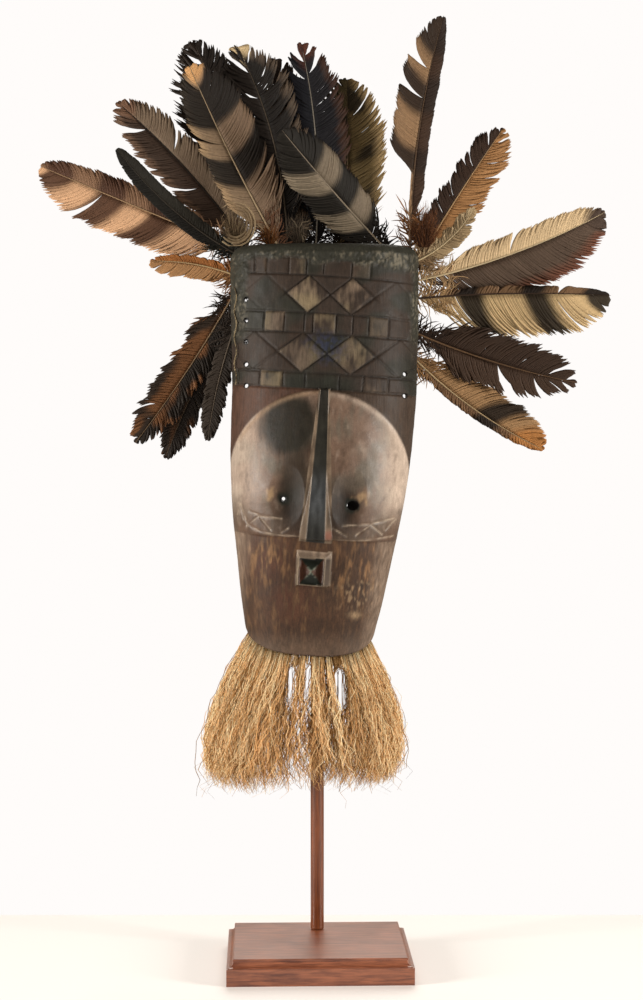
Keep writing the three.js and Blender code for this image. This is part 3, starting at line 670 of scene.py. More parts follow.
def woodTone(u, v, base, margin, groove, worn, crust, cut, past, part):
    # the colour of a place on the front, and how raw its wood is
    fine = wander(base.x, v * 0.3, base.y, 4)
    broad = wander(u, v, 11, 22)
    brow = mask["brow"]
    cheek = face["cheek"]
    tone = paint(woodTones["leftCorner"], ("rightCorner", smooth(-20, 20, u)),
                 ("lowerDeep", smooth(-0.1, 0.6, fine + broad) * 0.55))
    tone = mix(tone, panelTone(u, v, groove, worn, fine, broad), smooth(brow - 1.2, brow + 1, v))
    tone = mix(lowerTone(u, v, base.z, fine, broad), tone, smooth(cheek - 1, cheek + 1, v))
    onFace = smooth(-1.2, 1.0, margin)
    if onFace > 0 or past < 1.15:
        rubbed = faceTone(u, v, max(margin, 0), cut, past, fine, broad)
        tone = mix(tone, rubbed, max(onFace, smooth(1.15, 1.0, past)))
    raw = mix(0.85, 0.22, 1.0 if past < 1.1 else onFace)
    dull = max(near(abs(u), v, "dullHollow"), near(u, v, "dullPatch"))
    raw = mix(raw, 0.75, dull * onFace * smooth(0.95, 1.2, past))
    if part != "none":
        tone = mouthTone(u, v, part, fine)
        raw = 0.4
    warp = 2.4 * wander(base.x, base.y, base.z, 7)
    light = smooth(0.05, 0.7, wander(base.x + warp, base.y, base.z - warp, 2.9) + 0.5 * broad + 0.3 * fine)
    tone = mix(tone, paint(woodTones["crust"], ("crustLight", light * 0.85)), crust * 0.95)
    fromHole = min(math.hypot(base.x - x, base.z - z) for x, z in edgeHoles["places"])
    # darker round each edge hole
    tone = paint(tone, ("hole", smooth(edgeHoles["darkReach"], edgeHoles["radius"], fromHole) * 0.85))
    return fourth(tone * (1 + 0.16 * fine + 0.12 * broad), raw)


def evenAngles(columns):
    # angles that space the columns evenly along the arch
    count = 3000
    middle = 200
    points = [archPoint(math.pi * (i / count - 0.5), middle) for i in range(count + 1)]
    run = [0.0]
    for first, second in zip(points, points[1:]):
        finer = mix(2.2, 1, smooth(76, 90, abs(first.x)))  # closer together on the carved front
        run.append(run[-1] + (second - first).length * finer)
    angles = []
    for column in range(columns + 1):
        i = min(bisect.bisect_left(run, run[-1] * column / columns), count)
        angles.append(math.pi * (i / count - 0.5))
    angles[-1] = math.pi / 2
    return angles


def outerHeight(row, angle):
    # the height of a row on the outside: from the sloping rim, leaning with the carving, to the rounded top
    rows = mask["rows"] - mask["roundRows"]
    shoulder = mask["height"] - mask["topRound"]
    low = rimPlace(angle).z
    if row > rows:
        turn = (row - rows) / mask["roundRows"] * math.pi / 2
        return shoulder + mask["topRound"] * math.sin(turn), mask["topInset"] * (1 - math.cos(turn))
    z = mix(low, shoulder, row / rows)
    lean = smooth(0, 50, z - low) * (1 - smooth(375, shoulder, z))
    return z - archPoint(angle, z).x * math.tan(mask["carvingLean"]) * lean, 0.0


def maskPoint(column, row, angles):
    outer = mask["outerColumns"]
    rim = mask["rimColumns"]
    inner = mask["innerColumns"]
    if column <= outer:
        z, inset = outerHeight(row, angles[column])
        if inset == 0:
            return carveAt(angles[column], z)
        edge = archPoint(angles[column], z, inset)
        return Vector((edge.x, edge.y - 0.5 * wander(edge.x, edge.y, z, 5), z)), fourth(woodTones["crust"])
    if outer + rim <= column <= outer + rim + inner:
        angle = math.pi * (0.5 - (column - outer - rim) / inner)
        low = rimPlace(angle, mask["wall"]).z
        z = mix(low, mask["height"] - mask["topWall"], row / mask["rows"])
        inward = mask["wall"] + 0.5 * wander(angle * 40, z, 0, 14)
        return archPoint(angle, z, inward), fourth(woodTones["inside"])
    isRight = column < outer + rim
    across = (column - outer) / rim if isRight else (column - outer - rim - inner) / rim
    first = maskPoint(outer if isRight else outer + rim + inner, row, angles)[0]
    second = maskPoint(outer + rim if isRight else 0, row, angles)[0]
    return first.lerp(second, across), fourth(woodTones["back"])


def closeMask(bm, columnOf, rowOf):
    # four flat faces: the top, the back of the top wall, the ceiling of the hollow, and the sloping rim
    outer = mask["outerColumns"]
    first = outer + mask["rimColumns"]
    last = first + mask["innerColumns"]
    tops = {vert[columnOf]: vert for vert in bm.verts if vert[rowOf] == mask["rows"]}
    acrossTop = bm.edges.new((tops[0], tops[outer]))
    acrossCeiling = bm.edges.new((tops[first], tops[last]))
    loops = {"top": [acrossTop], "back": [acrossTop, acrossCeiling], "ceiling": [acrossCeiling], "rim": []}
    for edge in bm.edges:
        if not edge.is_boundary:
            continue
        low, high = sorted(vert[columnOf] for vert in edge.verts)
        if edge.verts[0][rowOf] == 0:
            loops["rim"].append(edge)
        elif high <= outer:
            loops["top"].append(edge)
        elif first <= low and high <= last:
            loops["ceiling"].append(edge)
        else:
            loops["back"].append(edge)
    for edges in loops.values():
        bmesh.ops.edgenet_fill(bm, edges=edges)
    bmesh.ops.recalc_face_normals(bm, faces=bm.faces)


# The drills that cut the holes: how far back each stands, how long it is, and its sides
drills = {"eye": {"y": -82, "long": 40, "sides": 28}, "edge": {"y": -35, "long": 100, "sides": 16}, "raw": 0.8,
          "rawWall": 0.9}


def drillHoles(piece, material):
    # the eye holes and the holes along both edges, cut right through from front to back
    bm = bmesh.new()
    cuts = []
    for eye in eyes:
        up = eye["v"] - mask["brow"]
        x = eye["u"] * leanCos + up * leanSin - eye["shift"]
        z = mask["brow"] - eye["u"] * leanSin + up * leanCos
        radius = eye["radius"]
        cuts.append((x, z, radius * eye["front"], radius * eye["rear"], eye["slant"], drills["eye"]))
    radius = edgeHoles["radius"]
    for x, z in edgeHoles["places"]:
        cuts.append((x, z, radius * edgeHoles["widened"], radius, 0.0, drills["edge"]))
    for x, z, front, rear, slant, drill in cuts:
        at = (Vector((x, drill["y"], z)) + maskAt) * mm
        turned = Matrix.Translation(at) @ Matrix.Rotation(slant, 4, "Z") @ Matrix.Rotation(math.pi / 2, 4, "X")
        bmesh.ops.create_cone(bm, cap_ends=True, segments=drill["sides"], radius1=rear * mm,
                              radius2=front * mm, depth=drill["long"] * mm, matrix=turned)
    tone = bm.verts.layers.float_color.new("tone")
    for vert in bm.verts:
        vert[tone] = fourth(woodTones["hole"], drills["raw"])
    cutter = meshObject(bm, "drill", material)
    cutterMesh = cutter.data
    cut = piece.modifiers.new("holes", "BOOLEAN")
    cut.operation = "DIFFERENCE"
    cut.solver = "MANIFOLD"
    cut.object = cutter
    depsgraph = bpy.context.evaluated_depsgraph_get()
    cutMesh = bpy.data.meshes.new_from_object(piece.evaluated_get(depsgraph), depsgraph=depsgraph)
    piece.modifiers.clear()
    piece.data = cutMesh
    for entry in cutMesh.attributes["tone"].data:
        if min(entry.color[:3]) > 0.999:  # the walls of the holes come out of the cut unpainted
            entry.color = fourth(woodTones["hole"], drills["rawWall"])
    bpy.data.objects.remove(cutter)
    bpy.data.meshes.remove(cutterMesh)


def makeMask(material):
    columns = mask["outerColumns"] + 2 * mask["rimColumns"] + mask["innerColumns"]
    rows = mask["rows"]
    angles = evenAngles(mask["outerColumns"])
    bm = bmesh.new()
    bmesh.ops.create_grid(bm, x_segments=columns, y_segments=rows, size=0.5)
    tone = bm.verts.layers.float_color.new("tone")
    columnOf = bm.verts.layers.int.new("column")
    rowOf = bm.verts.layers.int.new("row")
    for vert in bm.verts:
        column = round((vert.co.x + 0.5) * columns) % columns
        row = round((vert.co.y + 0.5) * rows)
        point, colour = maskPoint(column, row, angles)
        vert.co = (point + maskAt) * mm
        vert[tone] = colour
        vert[columnOf] = column
        vert[rowOf] = row
    bmesh.ops.remove_doubles(bm, verts=bm.verts, dist=1e-7)
    closeMask(bm, columnOf, rowOf)
    bm.verts.layers.int.remove(bm.verts.layers.int["column"])
    bm.verts.layers.int.remove(bm.verts.layers.int["row"])
    piece = keepPiece(bm, "mask_carved", material, ["mask_body"])
    before = len(piece.data.polygons)
    drillHoles(piece, material)
    print("mask:", before, "faces, with holes", len(piece.data.polygons))
    return piece


# The stand: a block under a cove and a thin top board, and a round rod near its back edge, mm
base = {
    "width": 180, "depth": 148, "block": 16.5, "height": 24.8, "inset": 6.8, "turn": math.radians(1.8),
    "ledge": 1.6, "fillet": 0.6, "coveSteps": 12, "coveReach": 5, "board": 2.4, "boardLip": 0.6,
    "boardEdge": 0.8, "softEdge": 0.35,
}
rod = {"radius": 6.7, "behind": 42, "sides": 48, "gap": 0.3, "softTop": 1.2}


def baseProfile():
    # how far in and how high each edge of the moulding lies
    profile = [(0, base["block"]), (base["ledge"], base["block"])]
    rise = base["height"] - base["board"] - base["block"] - base["fillet"]
    for i in range(base["coveSteps"] + 1):
        turn = i / base["coveSteps"] * math.pi / 2
        profile.append((base["ledge"] + base["coveReach"] * math.sin(turn),
                        base["block"] + base["fillet"] + rise * (1 - math.cos(turn))))
    lip = base["inset"] - base["boardLip"]
    profile += [(lip, base["height"] - base["board"]), (lip, base["height"] - base["boardEdge"])]
    return profile + [(base["inset"], base["height"])]


def softenAndTurn(bm, edges, radius, segments):
    # rounds these edges over, then turns the piece as the whole stand is turned
    bmesh.ops.bevel(bm, geom=edges, offset=radius * mm, offset_type="OFFSET", affect="EDGES",
                    segments=segments, profile=0.5, material=-1, clamp_overlap=True)
    bmesh.ops.transform(bm, matrix=Matrix.Rotation(base["turn"], 4, "Z"), verts=bm.verts)


def makeBase(material):
    bm = bmesh.new()
    bmesh.ops.create_grid(bm, x_segments=1, y_segments=1, size=0.5)
    bmesh.ops.scale(bm, vec=(base["width"] * mm, base["depth"] * mm, 1), verts=bm.verts)
    top = bm.faces[:][0]
    bmesh.ops.reverse_faces(bm, faces=[top])
    inward = 0.0
    height = 0.0
    for nextInward, nextHeight in baseProfile():
        raised = bmesh.ops.extrude_face_region(bm, geom=[top])
        if height > 0:
            bmesh.ops.delete(bm, geom=[top], context="FACES_ONLY")  # only the underside stays
        top = [item for item in raised["geom"] if isinstance(item, bmesh.types.BMFace)][0]
        scales = [1 - 2 * (nextInward - inward) / (base[side] - 2 * inward) for side in ("width", "depth")]
        bmesh.ops.scale(bm, vec=(*scales, 1), verts=top.verts)
        bmesh.ops.translate(bm, vec=(0, 0, (nextHeight - height) * mm), verts=top.verts)
        inward, height = nextInward, nextHeight
    bmesh.ops.recalc_face_normals(bm, faces=bm.faces)
    sharp = [edge for edge in bm.edges if edge.calc_face_angle(0) > math.radians(35)]
    softenAndTurn(bm, sharp, base["softEdge"], 2)
    return keepPiece(bm, "stand_base_moulded", material, ["stand_base"], isSmooth=False)


def makeRod(material):
    bm = bmesh.new()
    foot = base["height"] + rod["gap"]
    top = maskAt.z + mask["height"] - mask["topWall"] - rod["gap"]
    at = Matrix.Translation((0, rod["behind"] * mm, (foot + top) / 2 * mm))
    bmesh.ops.create_cone(bm, cap_ends=True, segments=rod["sides"], radius1=rod["radius"] * mm,
                          radius2=rod["radius"] * mm, depth=(top - foot) * mm, matrix=at)
    ends = [edge for edge in bm.edges if abs(edge.verts[0].co.z - edge.verts[1].co.z) < 1e-6]
    softenAndTurn(bm, ends, rod["softTop"], 4)
    return keepPiece(bm, "stand_rod_turned", material, ["stand_rod"])


# Feathers: the quill's place as in the solids, and the look. Each feather is a row of the values that
# featherColumns names and a dictionary of what only some have. Vanes and edges are given for the side left of
# the shaft and right of it, seen from the root. Bars, ends and splits are shares of the shaft's length. The
# barbs hang together in lobes, the more ragged the looser the feather is, and "fluff" is the down at its root.
quill = {
    "radius": 1.15, "tipRadius": 0.3, "bare": 0.12, "opening": 0.22, "narrowsFrom": 0.72, "layerStep": 3.7,
    "lift": 1.5, "gap": 0.3, "spacing": 1.4, "stations": 7, "reach": 0.8, "camber": 2.6, "thick": 0.22,
    "down": 11, "lobe": 17, "fluff": 80, "fluffLong": 24, "behind": 0.6, "sides": 7, "shaftStations": 28,
}
featherColumns = ("tone", "root", "tip", "bow", "layer", "lean",
                  "vane", "loose", "vanes", "shaft", "fluffTone")
feathers = {
    "left_pale": ("pale", (-70, 400), (-288, 490), 1, 2, 6, (36, 20), 0.3, ("#c9a07c", "#7d5f48"),
        "#a58868", "#b89472", {"bars": [(0.37, 0.5), (0.6, 0.72), (0.83, 0.97)], "bar": "#4a3022",
        "splits": [0.7]}),
    "left_grey": ("pale", (-70, 398), (-212, 558), -7, 4, 20, (27.6, 25.3), 0.6, ("#3a2c23", "#71604f"),
        "#241d18", "#4c372a", {"edges": ("#6d5544", ""), "end": ("#6e5240", 0.88),
        "splits": [0.42, 0.63, 0.8]}),
    "left_tall": ("pale", (-40, 397), (-136, 589), 3, 2, -6, (26.4, 37.4), 0.45, ("#857059", "#786350"),
        "#a08b6e", "#6b4a35", {"edges": ("#a58a69", ""), "bars": [(0.38, 0.53), (0.68, 0.89)],
        "bar": "#12100f", "end": ("#cc9d6a", 0.92), "splits": [0.6, 0.35]}),
    "top_grey": ("pale", (-33, 396), (-53, 584), 7, 7, 40, (20, 20), 0.7, ("#75685a", "#7d6f60"), "#2e2721",
        "#2a211b", {"end": ("#211b17", 0.86), "splits": [0.35, 0.5, 0.72]}),
    "top_banded": ("pale", (70, 396), (-42, 519), 1, 0, -30, (29.7, 26.4), 0.35, ("#857865", "#796c5b"),
        "#8d806e", "#1d1814", {"bars": [(-0.1, 0.27), (0.39, 0.56), (0.7, 1.1)], "bar": "#0f0e0d"}),
    "right_upright": ("pale", (86, 388), (120, 640), 9, 1, 6, (28, 12), 0.3, ("#8d7053", "#3d2c21"),
        "#54402f", "#7d5634", {"from": (0.36, 0.1), "bars": [(0.36, 0.465), (0.61, 0.735), (0.83, 1.1)],
        "bar": "#2a201a", "splits": [0.66, 0.78]}),
    "right_brown": ("pale", (87, 380), (183, 531), 2, 3, 22, (19.6, 25.3), 1.0, ("#33241b", "#a1764c"),
        "#a98a64", "#4a2c1c", {"splits": [0.5, 0.7]}),
    "right_ribbon": ("pale", (88, 391), (150, 445), -7, 0, -12, (9, 11), 1.0, ("#b59f7c", "#a58e6c"),
        "#cbb893", "#8d7355", {}),
    "right_large": ("pale", (85, 372), (285, 444), -8, 2, 10, (20, 42), 0.35, ("#ccb28b", "#57473b"),
        "#d0bd98", "#b1926d", {"edges": ("", "#6e4534"), "end": ("#46382f", 0.9), "splits": [0.5]}),
    "right_barred": ("pale", (85, 355), (288, 358), 4, 1, -8, (8, 42), 0.4, ("#73583f", "#c4a97e"),
        "#3a2c22", "#a98a63", {"bars": [(0.235, 0.355), (0.555, 0.675), (0.865, 1.1)], "bar": "#171311",
        "splits": [0.44, 0.74]}),
    "right_low": ("pale", (81, 305), (222, 203), -8, 1, 2, (30, 8), 0.4, ("#9d7b56", "#6f533a"), "#b39c78",
        "#8e6c48", {"bars": [(0.55, 0.7)], "bar": "#1d1713", "end": ("#ab7440", 0.8)}),
    "left_narrow": ("dark", (-75, 393), (-208, 504), 10, 1, -14, (10, 11), 0.3, ("#191713", "#232019"),
        "#332d25", "#20211a", {}),
    "top_dark_left": ("dark", (-45, 398), (-136, 624), -4, 6, 30, (44, 31), 1.5, ("#2a211b", "#201a16"),
        "#4c4036", "#1a1512", {"splits": [0.5, 0.66, 0.78, 0.88]}),
    "top_cream": ("dark", (-38, 396), (-89, 612), -14, 3, 4, (31, 36), 1.3, ("#211b17", "#1b1714"),
        "#4d4337", "#15110e", {"edges": ("", "#574a3e"), "end": ("#cbb48c", 0.93),
        "splits": [0.62, 0.74, 0.86]}),
    "top_brown": ("dark", (-25, 396), (-53, 603), -10, 5, 20, (18.2, 28.6), 0.8, ("#5c4938", "#4d3b2d"),
        "#332820", "#1c1612", {"bars": [(0.84, 1.1)], "bar": "#241a14", "splits": [0.6, 0.84]}),
    "top_blue_black": ("dark", (-10, 397), (-24, 616), -9, 4, 8, (23.4, 33.8), 0.9, ("#14151b", "#17161a"),
        "#7d766c", "#14110f", {"edges": ("", "#3f2a20"), "end": ("#4f2c20", 0.91),
        "splits": [0.7, 0.82, 0.9]}),
    "top_olive": ("dark", (14, 396), (22, 584), -5, 6, 22, (31.4, 40.3), 0.5, ("#4a4028", "#6d5c3c"),
        "#5c4e36", "#2c2217", {"edges": ("#3a3020", "#9b835c"), "patch": ("#221c13", 0.9),
        "splits": [0.7]}),
    "top_inner": ("dark", (38, 396), (6, 530), 4, 8, 34, (28.8, 26.4), 0.8, ("#241c16", "#2b211a"),
        "#3d3228", "#1b1511", {}),
    "right_dark": ("dark", (82, 325), (254, 270), -5, 0, -16, (29.9, 25.3), 1.1, ("#36271d", "#402f23"),
        "#6d543d", "#2d2018", {"splits": [0.55, 0.75]}),
    "left_mottled": ("dark", (-85, 372), (-191, 210), 4, 1, -6, (19.2, 22.8), 0.9, ("#241e19", "#2e241c"),
        "#7d6850", "#2c221b", {"patch": ("#7d5230", 0.7), "splits": [0.5, 0.75]}),
    "left_mottled_back": ("dark", (-86, 352), (-162, 194), -4, 2, 6, (16.8, 16.8), 0.9,
        ("#211b17", "#2a211a"), "#5c4d3e", "#241d17", {"patch": ("#6b4629", 0.4), "splits": [0.6]}),
    "left_twisted": ("dark", (-86, 330), (-145, 222), -3, 3, 14, (7, 8), 0.9, ("#6b635b", "#5b544d"),
        "#8f8578", "#4c443c", {}),
    "left_low": ("dark", (-86, 338), (-118, 212), -4, 0, 3, (11, 12), 0.8, ("#2f2924", "#383029"),
        "#5c5145", "#332b25", {}),
    "left_orange": ("orange", (-79, 374), (-176, 392), -6, 0, -10, (15, 8), 0.6, ("#ab8158", "#9a6232"),
        "#c2a67c", "#7d5636", {}),
}


def vaneShare(s):
    towardsTip = max(0, s - quill["narrowsFrom"]) / (1 - quill["narrowsFrom"])
    return smooth(quill["bare"], quill["bare"] + quill["opening"], s) * math.sqrt(max(0, 1 - towardsTip ** 2))


def shaftPoint(look, s):
    root = Vector(look["root"])
    along = Vector(look["tip"]) - root
    left = Vector((-along.y, along.x)).normalized()
    flat = root + along * s + left * (4 * look["bow"] * s * (1 - s))
    y = quill["lift"] + quill["gap"] + look["layer"] * quill["layerStep"] + look["lean"] * s * s
    return Vector((flat.x, y, flat.y)), Vector((left.x, 0, left.y))


def vaneTone(look, s, side, out, seed):
    grainy = wander(s * 40, out * 3, seed, 3)
    tone = look["vaneTones"][side]
    if "patch" in look:
        cover = smooth(0.0, 0.35, wander(s * 12 + seed, out * 2, side * 7, 1.6)) * look["patch"][1]
        tone = mix(tone, look["patchTone"], cover)
    edge = look["edgeTones"][side]
    if edge is not None:
        tone = mix(tone, edge, smooth(0.55, 0.85, out))
    shifted = s + 0.02 * grainy + 0.05 * (out - 0.5) * (1 if side else -1) * look["loose"]
    for low, high in look.get("bars", []):
        cover = smooth(low - 0.025, low + 0.025, shifted) * (1 - smooth(high - 0.025, high + 0.025, shifted))
        tone = mix(tone, look["barTone"], cover * 0.95)
    if "end" in look:
        tone = mix(tone, look["endTone"], smooth(look["end"][1] - 0.04, look["end"][1] + 0.04, shifted))
    return tone * (1 + 0.14 * grainy)


def makeBarb(look, k, each, length, rng):
    # one barb of the vane: where it leaves the shaft, where it bends and where it ends
    side = k // each
    sign = 1 if side == 0 else -1
    s = mix(quill["bare"] - 0.06, 0.99, (k % each + rng.uniform(0.2, 0.8)) / each)
    loose = look["loose"]
    shift = sum(0.03 * math.copysign(1, s - place) * math.exp(-abs(s - place) / 0.035)
                for place in look.get("splits", []) if (side == 0) == (round(place * 100) % 2 == 0))
    lobes = length / quill["lobe"]
    lobe = s * lobes + 0.6 * wander(s * 9, side * 30, length, 1.1)
    fromMiddle = lobe - math.floor(lobe) - 0.5
    vane = look["vane"][side]
    reach = quill["reach"] * vane / length * (1 + 0.2 * loose * rng.uniform(-1, 1))
    end = min(1 - (1 - s) * 0.2, s + reach) + shift - 0.3 * min(loose, 1.3) * fromMiddle / lobes
    downy = 1 - smooth(0.12, 0.3, s)
    wide = max(vane * vaneShare(min(end, 0.999)), 1.5 + quill["down"] * downy)
    if "from" in look:
        wide = max(1.4, wide * smooth(look["from"][side] - 0.02, look["from"][side] + 0.04, s))
    ragged = 1 + 0.3 * loose * wander(s * 30, side * 11, length, 1.7) - 0.35 * loose * fromMiddle ** 2
    wide *= min(1.12, ragged) + 0.06 * loose * rng.uniform(-1.5, 0.6) - 0.4 * downy * rng.random()
    start, left = shaftPoint(look, s)
    tip = shaftPoint(look, min(end, 1.0))[0] + left * (sign * wide)
    bend = shaftPoint(look, s + (end - s) * 0.3)[0] + left * (sign * wide * 0.62)
    return {
        "side": side, "s": s, "start": start, "bend": bend, "tip": tip,
        "curl": loose * (rng.uniform(-1.2, 1.2) + 3 * wander(s * 14, side * 5, length, 1.3))
        + downy * rng.uniform(-5, 5),
        "camber": quill["camber"] * wide / 30, "lift": 0.05 * (k % 2), "shade": rng.uniform(0.93, 1.06),
        "half": quill["spacing"] * mix(0.85, 0.42, downy) * rng.uniform(0.9, 1.1), "downy": downy,
        "wave": loose * rng.uniform(-1.2, 1.2) + downy * rng.uniform(-4, 4), "turn": rng.uniform(0, 6.3),
    }


def makeFluff(look, rng):
    # one loose barb of the down round the root of a quill, thin, long and bent every way
    s = rng.uniform(0.02, 0.2)
    start, left = shaftPoint(look, s)
    sign = rng.choice((-1, 1))
    along = (shaftPoint(look, s + 0.02)[0] - start).normalized()
    long = quill["fluffLong"] * rng.uniform(0.35, 1)
    aim = (left * (sign * rng.uniform(0.5, 1.1)) + along * rng.uniform(0.0, 1.0)).normalized()
    return {
        "side": 0, "s": s, "start": start, "bend": start + aim * (0.55 * long),
        "tip": start + aim * long + along * rng.uniform(-8, 8), "curl": rng.uniform(-6, 3), "camber": 0.0,
        "lift": 0.0, "shade": rng.uniform(0.55, 1.25), "half": rng.uniform(0.35, 0.7), "downy": 1.0,
        "wave": rng.uniform(-5, 5), "turn": rng.uniform(0, 6.3),
    }


def makeFeather(name, row, material):
    rng = random.Random(name)
    look = dict(zip(featherColumns, row), **row[-1])
    look["vaneTones"] = [linear(value) for value in look["vanes"]]
    look["edgeTones"] = [linear(value) if value else None for value in look.get("edges", ("", ""))]
    for part in ("end", "patch"):
        if part in look:
            look[part + "Tone"] = linear(look[part][0])
    if "bars" in look:
        look["barTone"] = linear(look["bar"])
    fluffTone = linear(look["fluffTone"])
    shaftTone = linear(look["shaft"])
    length = (Vector(look["tip"]) - Vector(look["root"])).length
    each = int(length * (1 - quill["bare"]) / quill["spacing"])
    seed = rng.uniform(0, 90)
    barbs = [makeBarb(look, k, each, length, rng) for k in range(2 * each)]
    barbs += [makeFluff(look, rng) for k in range(quill["fluff"])]

    def placeBarb(k, t, corner):
        barb = barbs[k]
        p = barb["start"].lerp(barb["bend"], t).lerp(barb["bend"].lerp(barb["tip"], t), t)
        along = (barb["bend"] - barb["start"]).lerp(barb["tip"] - barb["bend"], t)
        across = Vector((-along.z, 0, along.x)).normalized()
        p = p + across * (barb["wave"] * t * t * math.sin(t * 4 + barb["turn"]))
        p.y += barb["camber"] * t * t + barb["curl"] * t ** 3 + barb["lift"]
        if p.y < quill["behind"] and p.z < mask["height"] + 1:
            p.y = quill["behind"]  # behind the mask's back, not inside the wood
        half = barb["half"] * mix(1, 1.75, t * (1 - barb["downy"])) * min(1.0, (1 - t) * 4 + 0.08)
        if corner == 2:
            p.y -= quill["thick"]
        else:
            p = p + across * (half if corner else -half)
        if k >= 2 * each:
            return painted(p, fluffTone, barb["shade"] * (0.8 + 0.5 * t))
        return painted(p, vaneTone(look, barb["s"] + 0.02 * t, barb["side"], t, seed), barb["shade"])

    def placeShaft(k, t, corner):
        p, left = shaftPoint(look, t)
        turn = corner / quill["sides"] * 2 * math.pi
        half = mix(quill["radius"], quill["tipRadius"], t) * (1 if t < 0.985 else 0.5)
        p = p + left * (math.cos(turn) * half) + Vector((0, math.sin(turn) * half, 0))
        return painted(p, shaftTone, 1 - 0.25 * t)

    bm = makeTubes(len(barbs), quill["stations"], 3, placeBarb)
    joinInto(bm, makeTubes(1, quill["shaftStations"], quill["sides"], placeShaft))
    return keepPiece(bm, "vane_" + name, material, ["feather_" + name])


# Down in the crest: middle and half sizes of each tuft, mm. "ribbons" are broad flat barbs, "ring" lays them in
# a loop and otherwise they spread out like a star.
tufts = {
    "down_tuft_left": {"at": (-88, -17, 427), "half": (20, 12, 23), "tones": ("#a08a6a", "#4a392b"),
                       "count": 150, "ribbons": 20, "ribbonTones": ("#b39d7b", "#80694e"), "ring": True},
    "down_tuft_small": {"at": (-55, -15, 417), "half": (12, 12, 13), "tones": ("#9a622f", "#4c3020"),
                        "count": 150, "ribbons": 8, "ribbonTones": ("#b5804a", "#6d4526"), "ring": False},
    "down_tuft_middle": {"at": (-26, -17, 423), "half": (18, 13, 19), "tones": ("#6d5f4e", "#2c231c"),
                         "count": 130, "ribbons": 13, "ribbonTones": ("#9d8d75", "#6e6050"), "ring": False},
    "down_tuft_right": {"at": (99, -15, 425), "half": (20, 12, 28), "tones": ("#3f2618", "#8a5733"),
                        "count": 320, "ribbons": 14, "ribbonTones": ("#b07c4e", "#5c3a24"), "ring": False},
}


tuftStations = 10


def makeTuft(name, look, material):
    rng = random.Random(name)
    middle = Vector(look["at"])
    half = Vector(look["half"])
    tones = [linear(value) for value in look["tones"]]
    ribbonTones = [linear(value) for value in look["ribbonTones"]]
    fibres = []
    for k in range(look["count"] + look["ribbons"]):
        isRibbon = k >= look["count"]
        turn = rng.uniform(0, 2 * math.pi)
        rise = rng.uniform(-0.35, 1)
        flat = math.sqrt(max(0, 1 - rise * rise))
        out = Vector((math.cos(turn) * flat * half.x, math.sin(turn) * flat * half.y, rise * half.z))
        start = Vector((out.x * 0.15, out.y * 0.2, -half.z * 0.75))
        if isRibbon:
            out = Vector((math.cos(turn) * half.x, -0.6 * half.y, math.sin(turn) * half.z))
            out *= rng.uniform(0.7, 0.95)
            start = out * 0.1
        low, high = ribbonTones if isRibbon else tones
        fibres.append({
            "start": middle + start, "tip": middle + out * rng.uniform(0.75, 1.0), "curl": rng.uniform(1, 3.4),
            "turn": rng.uniform(0, 6.3), "tone": mix(low, high, rng.random() ** (1 if isRibbon else 1.5)),
            "half": rng.uniform(0.7, 1.3) if isRibbon else rng.uniform(0.25, 0.5), "isRibbon": isRibbon,
            "ring": rng.uniform(0.5, 0.98), "from": rng.uniform(-2.6, -1.6), "sweep": rng.uniform(2.6, 4.4),
        })

    def place(k, t, corner):
        fibre = fibres[k]
        p = fibre["start"].lerp(fibre["tip"], t)
        swing = fibre["curl"] * math.sin(t * math.pi) + 1.5 * t * math.sin(t * 9 + fibre["turn"])
        p = p + Vector((math.cos(fibre["turn"]), 0.4 * math.sin(fibre["turn"]), 0.5)) * swing
        across = Vector((1, 0, 0))
        if fibre["isRibbon"]:
            aim = (fibre["tip"] - fibre["start"]).normalized()
            across = Vector((-aim.z, 0, aim.x))
        if fibre["isRibbon"] and look["ring"]:
            turn = fibre["from"] + fibre["sweep"] * t
            out = Vector((math.cos(turn) * half.x, 0, math.sin(turn) * half.z)) * fibre["ring"]
            p = middle + out + Vector((0, -half.y * (0.3 + 0.5 * fibre["ring"]) + 2 * math.sin(turn * 2), 0))
            across = out.normalized()
        turn = corner * 2 * math.pi / 3
        wide = fibre["half"] * (1.15 - t)
        deep = wide * (0.3 if fibre["isRibbon"] else 1)
        p = p + across * (math.cos(turn) * wide) + Vector((0, math.sin(turn) * deep, 0))
        p.z = max(p.z, mask["height"] + 0.3)
        return painted(p, fibre["tone"], mix(0.6, 1.1, t))

    bm = makeTubes(len(fibres), tuftStations, 3, place)
    return keepPiece(bm, name + "_fibres", material, [name])


# The raffia fringe, laid out as the solids' hanks are, mm. "gaps" are places across the mask where the fringe
# is worn open below its gathered top: only a few dark strands hang there. Some strands cross over their
# neighbours in bundles, and a few hang out loose. The last line has the shares of the strands that end early,
# cross over and hang loose, and of those at a gap, the shares that hang down in it or are worn to a stub.
fringe = {
    "hanks": 15, "sweep": math.radians(84), "drop": 128, "dropSwing": 5, "swingTurn": 2.4, "notch": 15,
    "notchHank": 7, "inset": 3, "flare": 33.5, "flareTurn": 2.12, "frontFlare": 0.8, "shift": -8, "below": 1.9,
    "gaps": [(-39, -28.3), (-21.1, -12.3), (-0.6, 3.3), (9.2, 22.9)], "strands": 198, "stations": 19,
    "crinkle": 8, "billow": 9, "narrow": 0.18, "wide": 0.46, "opens": (0.07, 0.12), "closes": (0.36, 0.5),
    "fills": [(0, 0.95), (0.4, 1.0), (0.6, 1.1), (0.87, 1.15), (1, 1.2)],
    "thick": [(0, 4), (0.4, 8), (0.6, 13), (0.87, 12), (1, 10)],
    "short": 0.2, "crossFrom": 0.92, "stray": 0.03, "hangs": 0.22, "stub": 0.5,
}
raffiaTones = [(at, linear(value)) for at, value in (
    (0, "#6b4a28"), (0.3, "#ab7d46"), (0.65, "#f0c184"), (1, "#ffedc2"))]


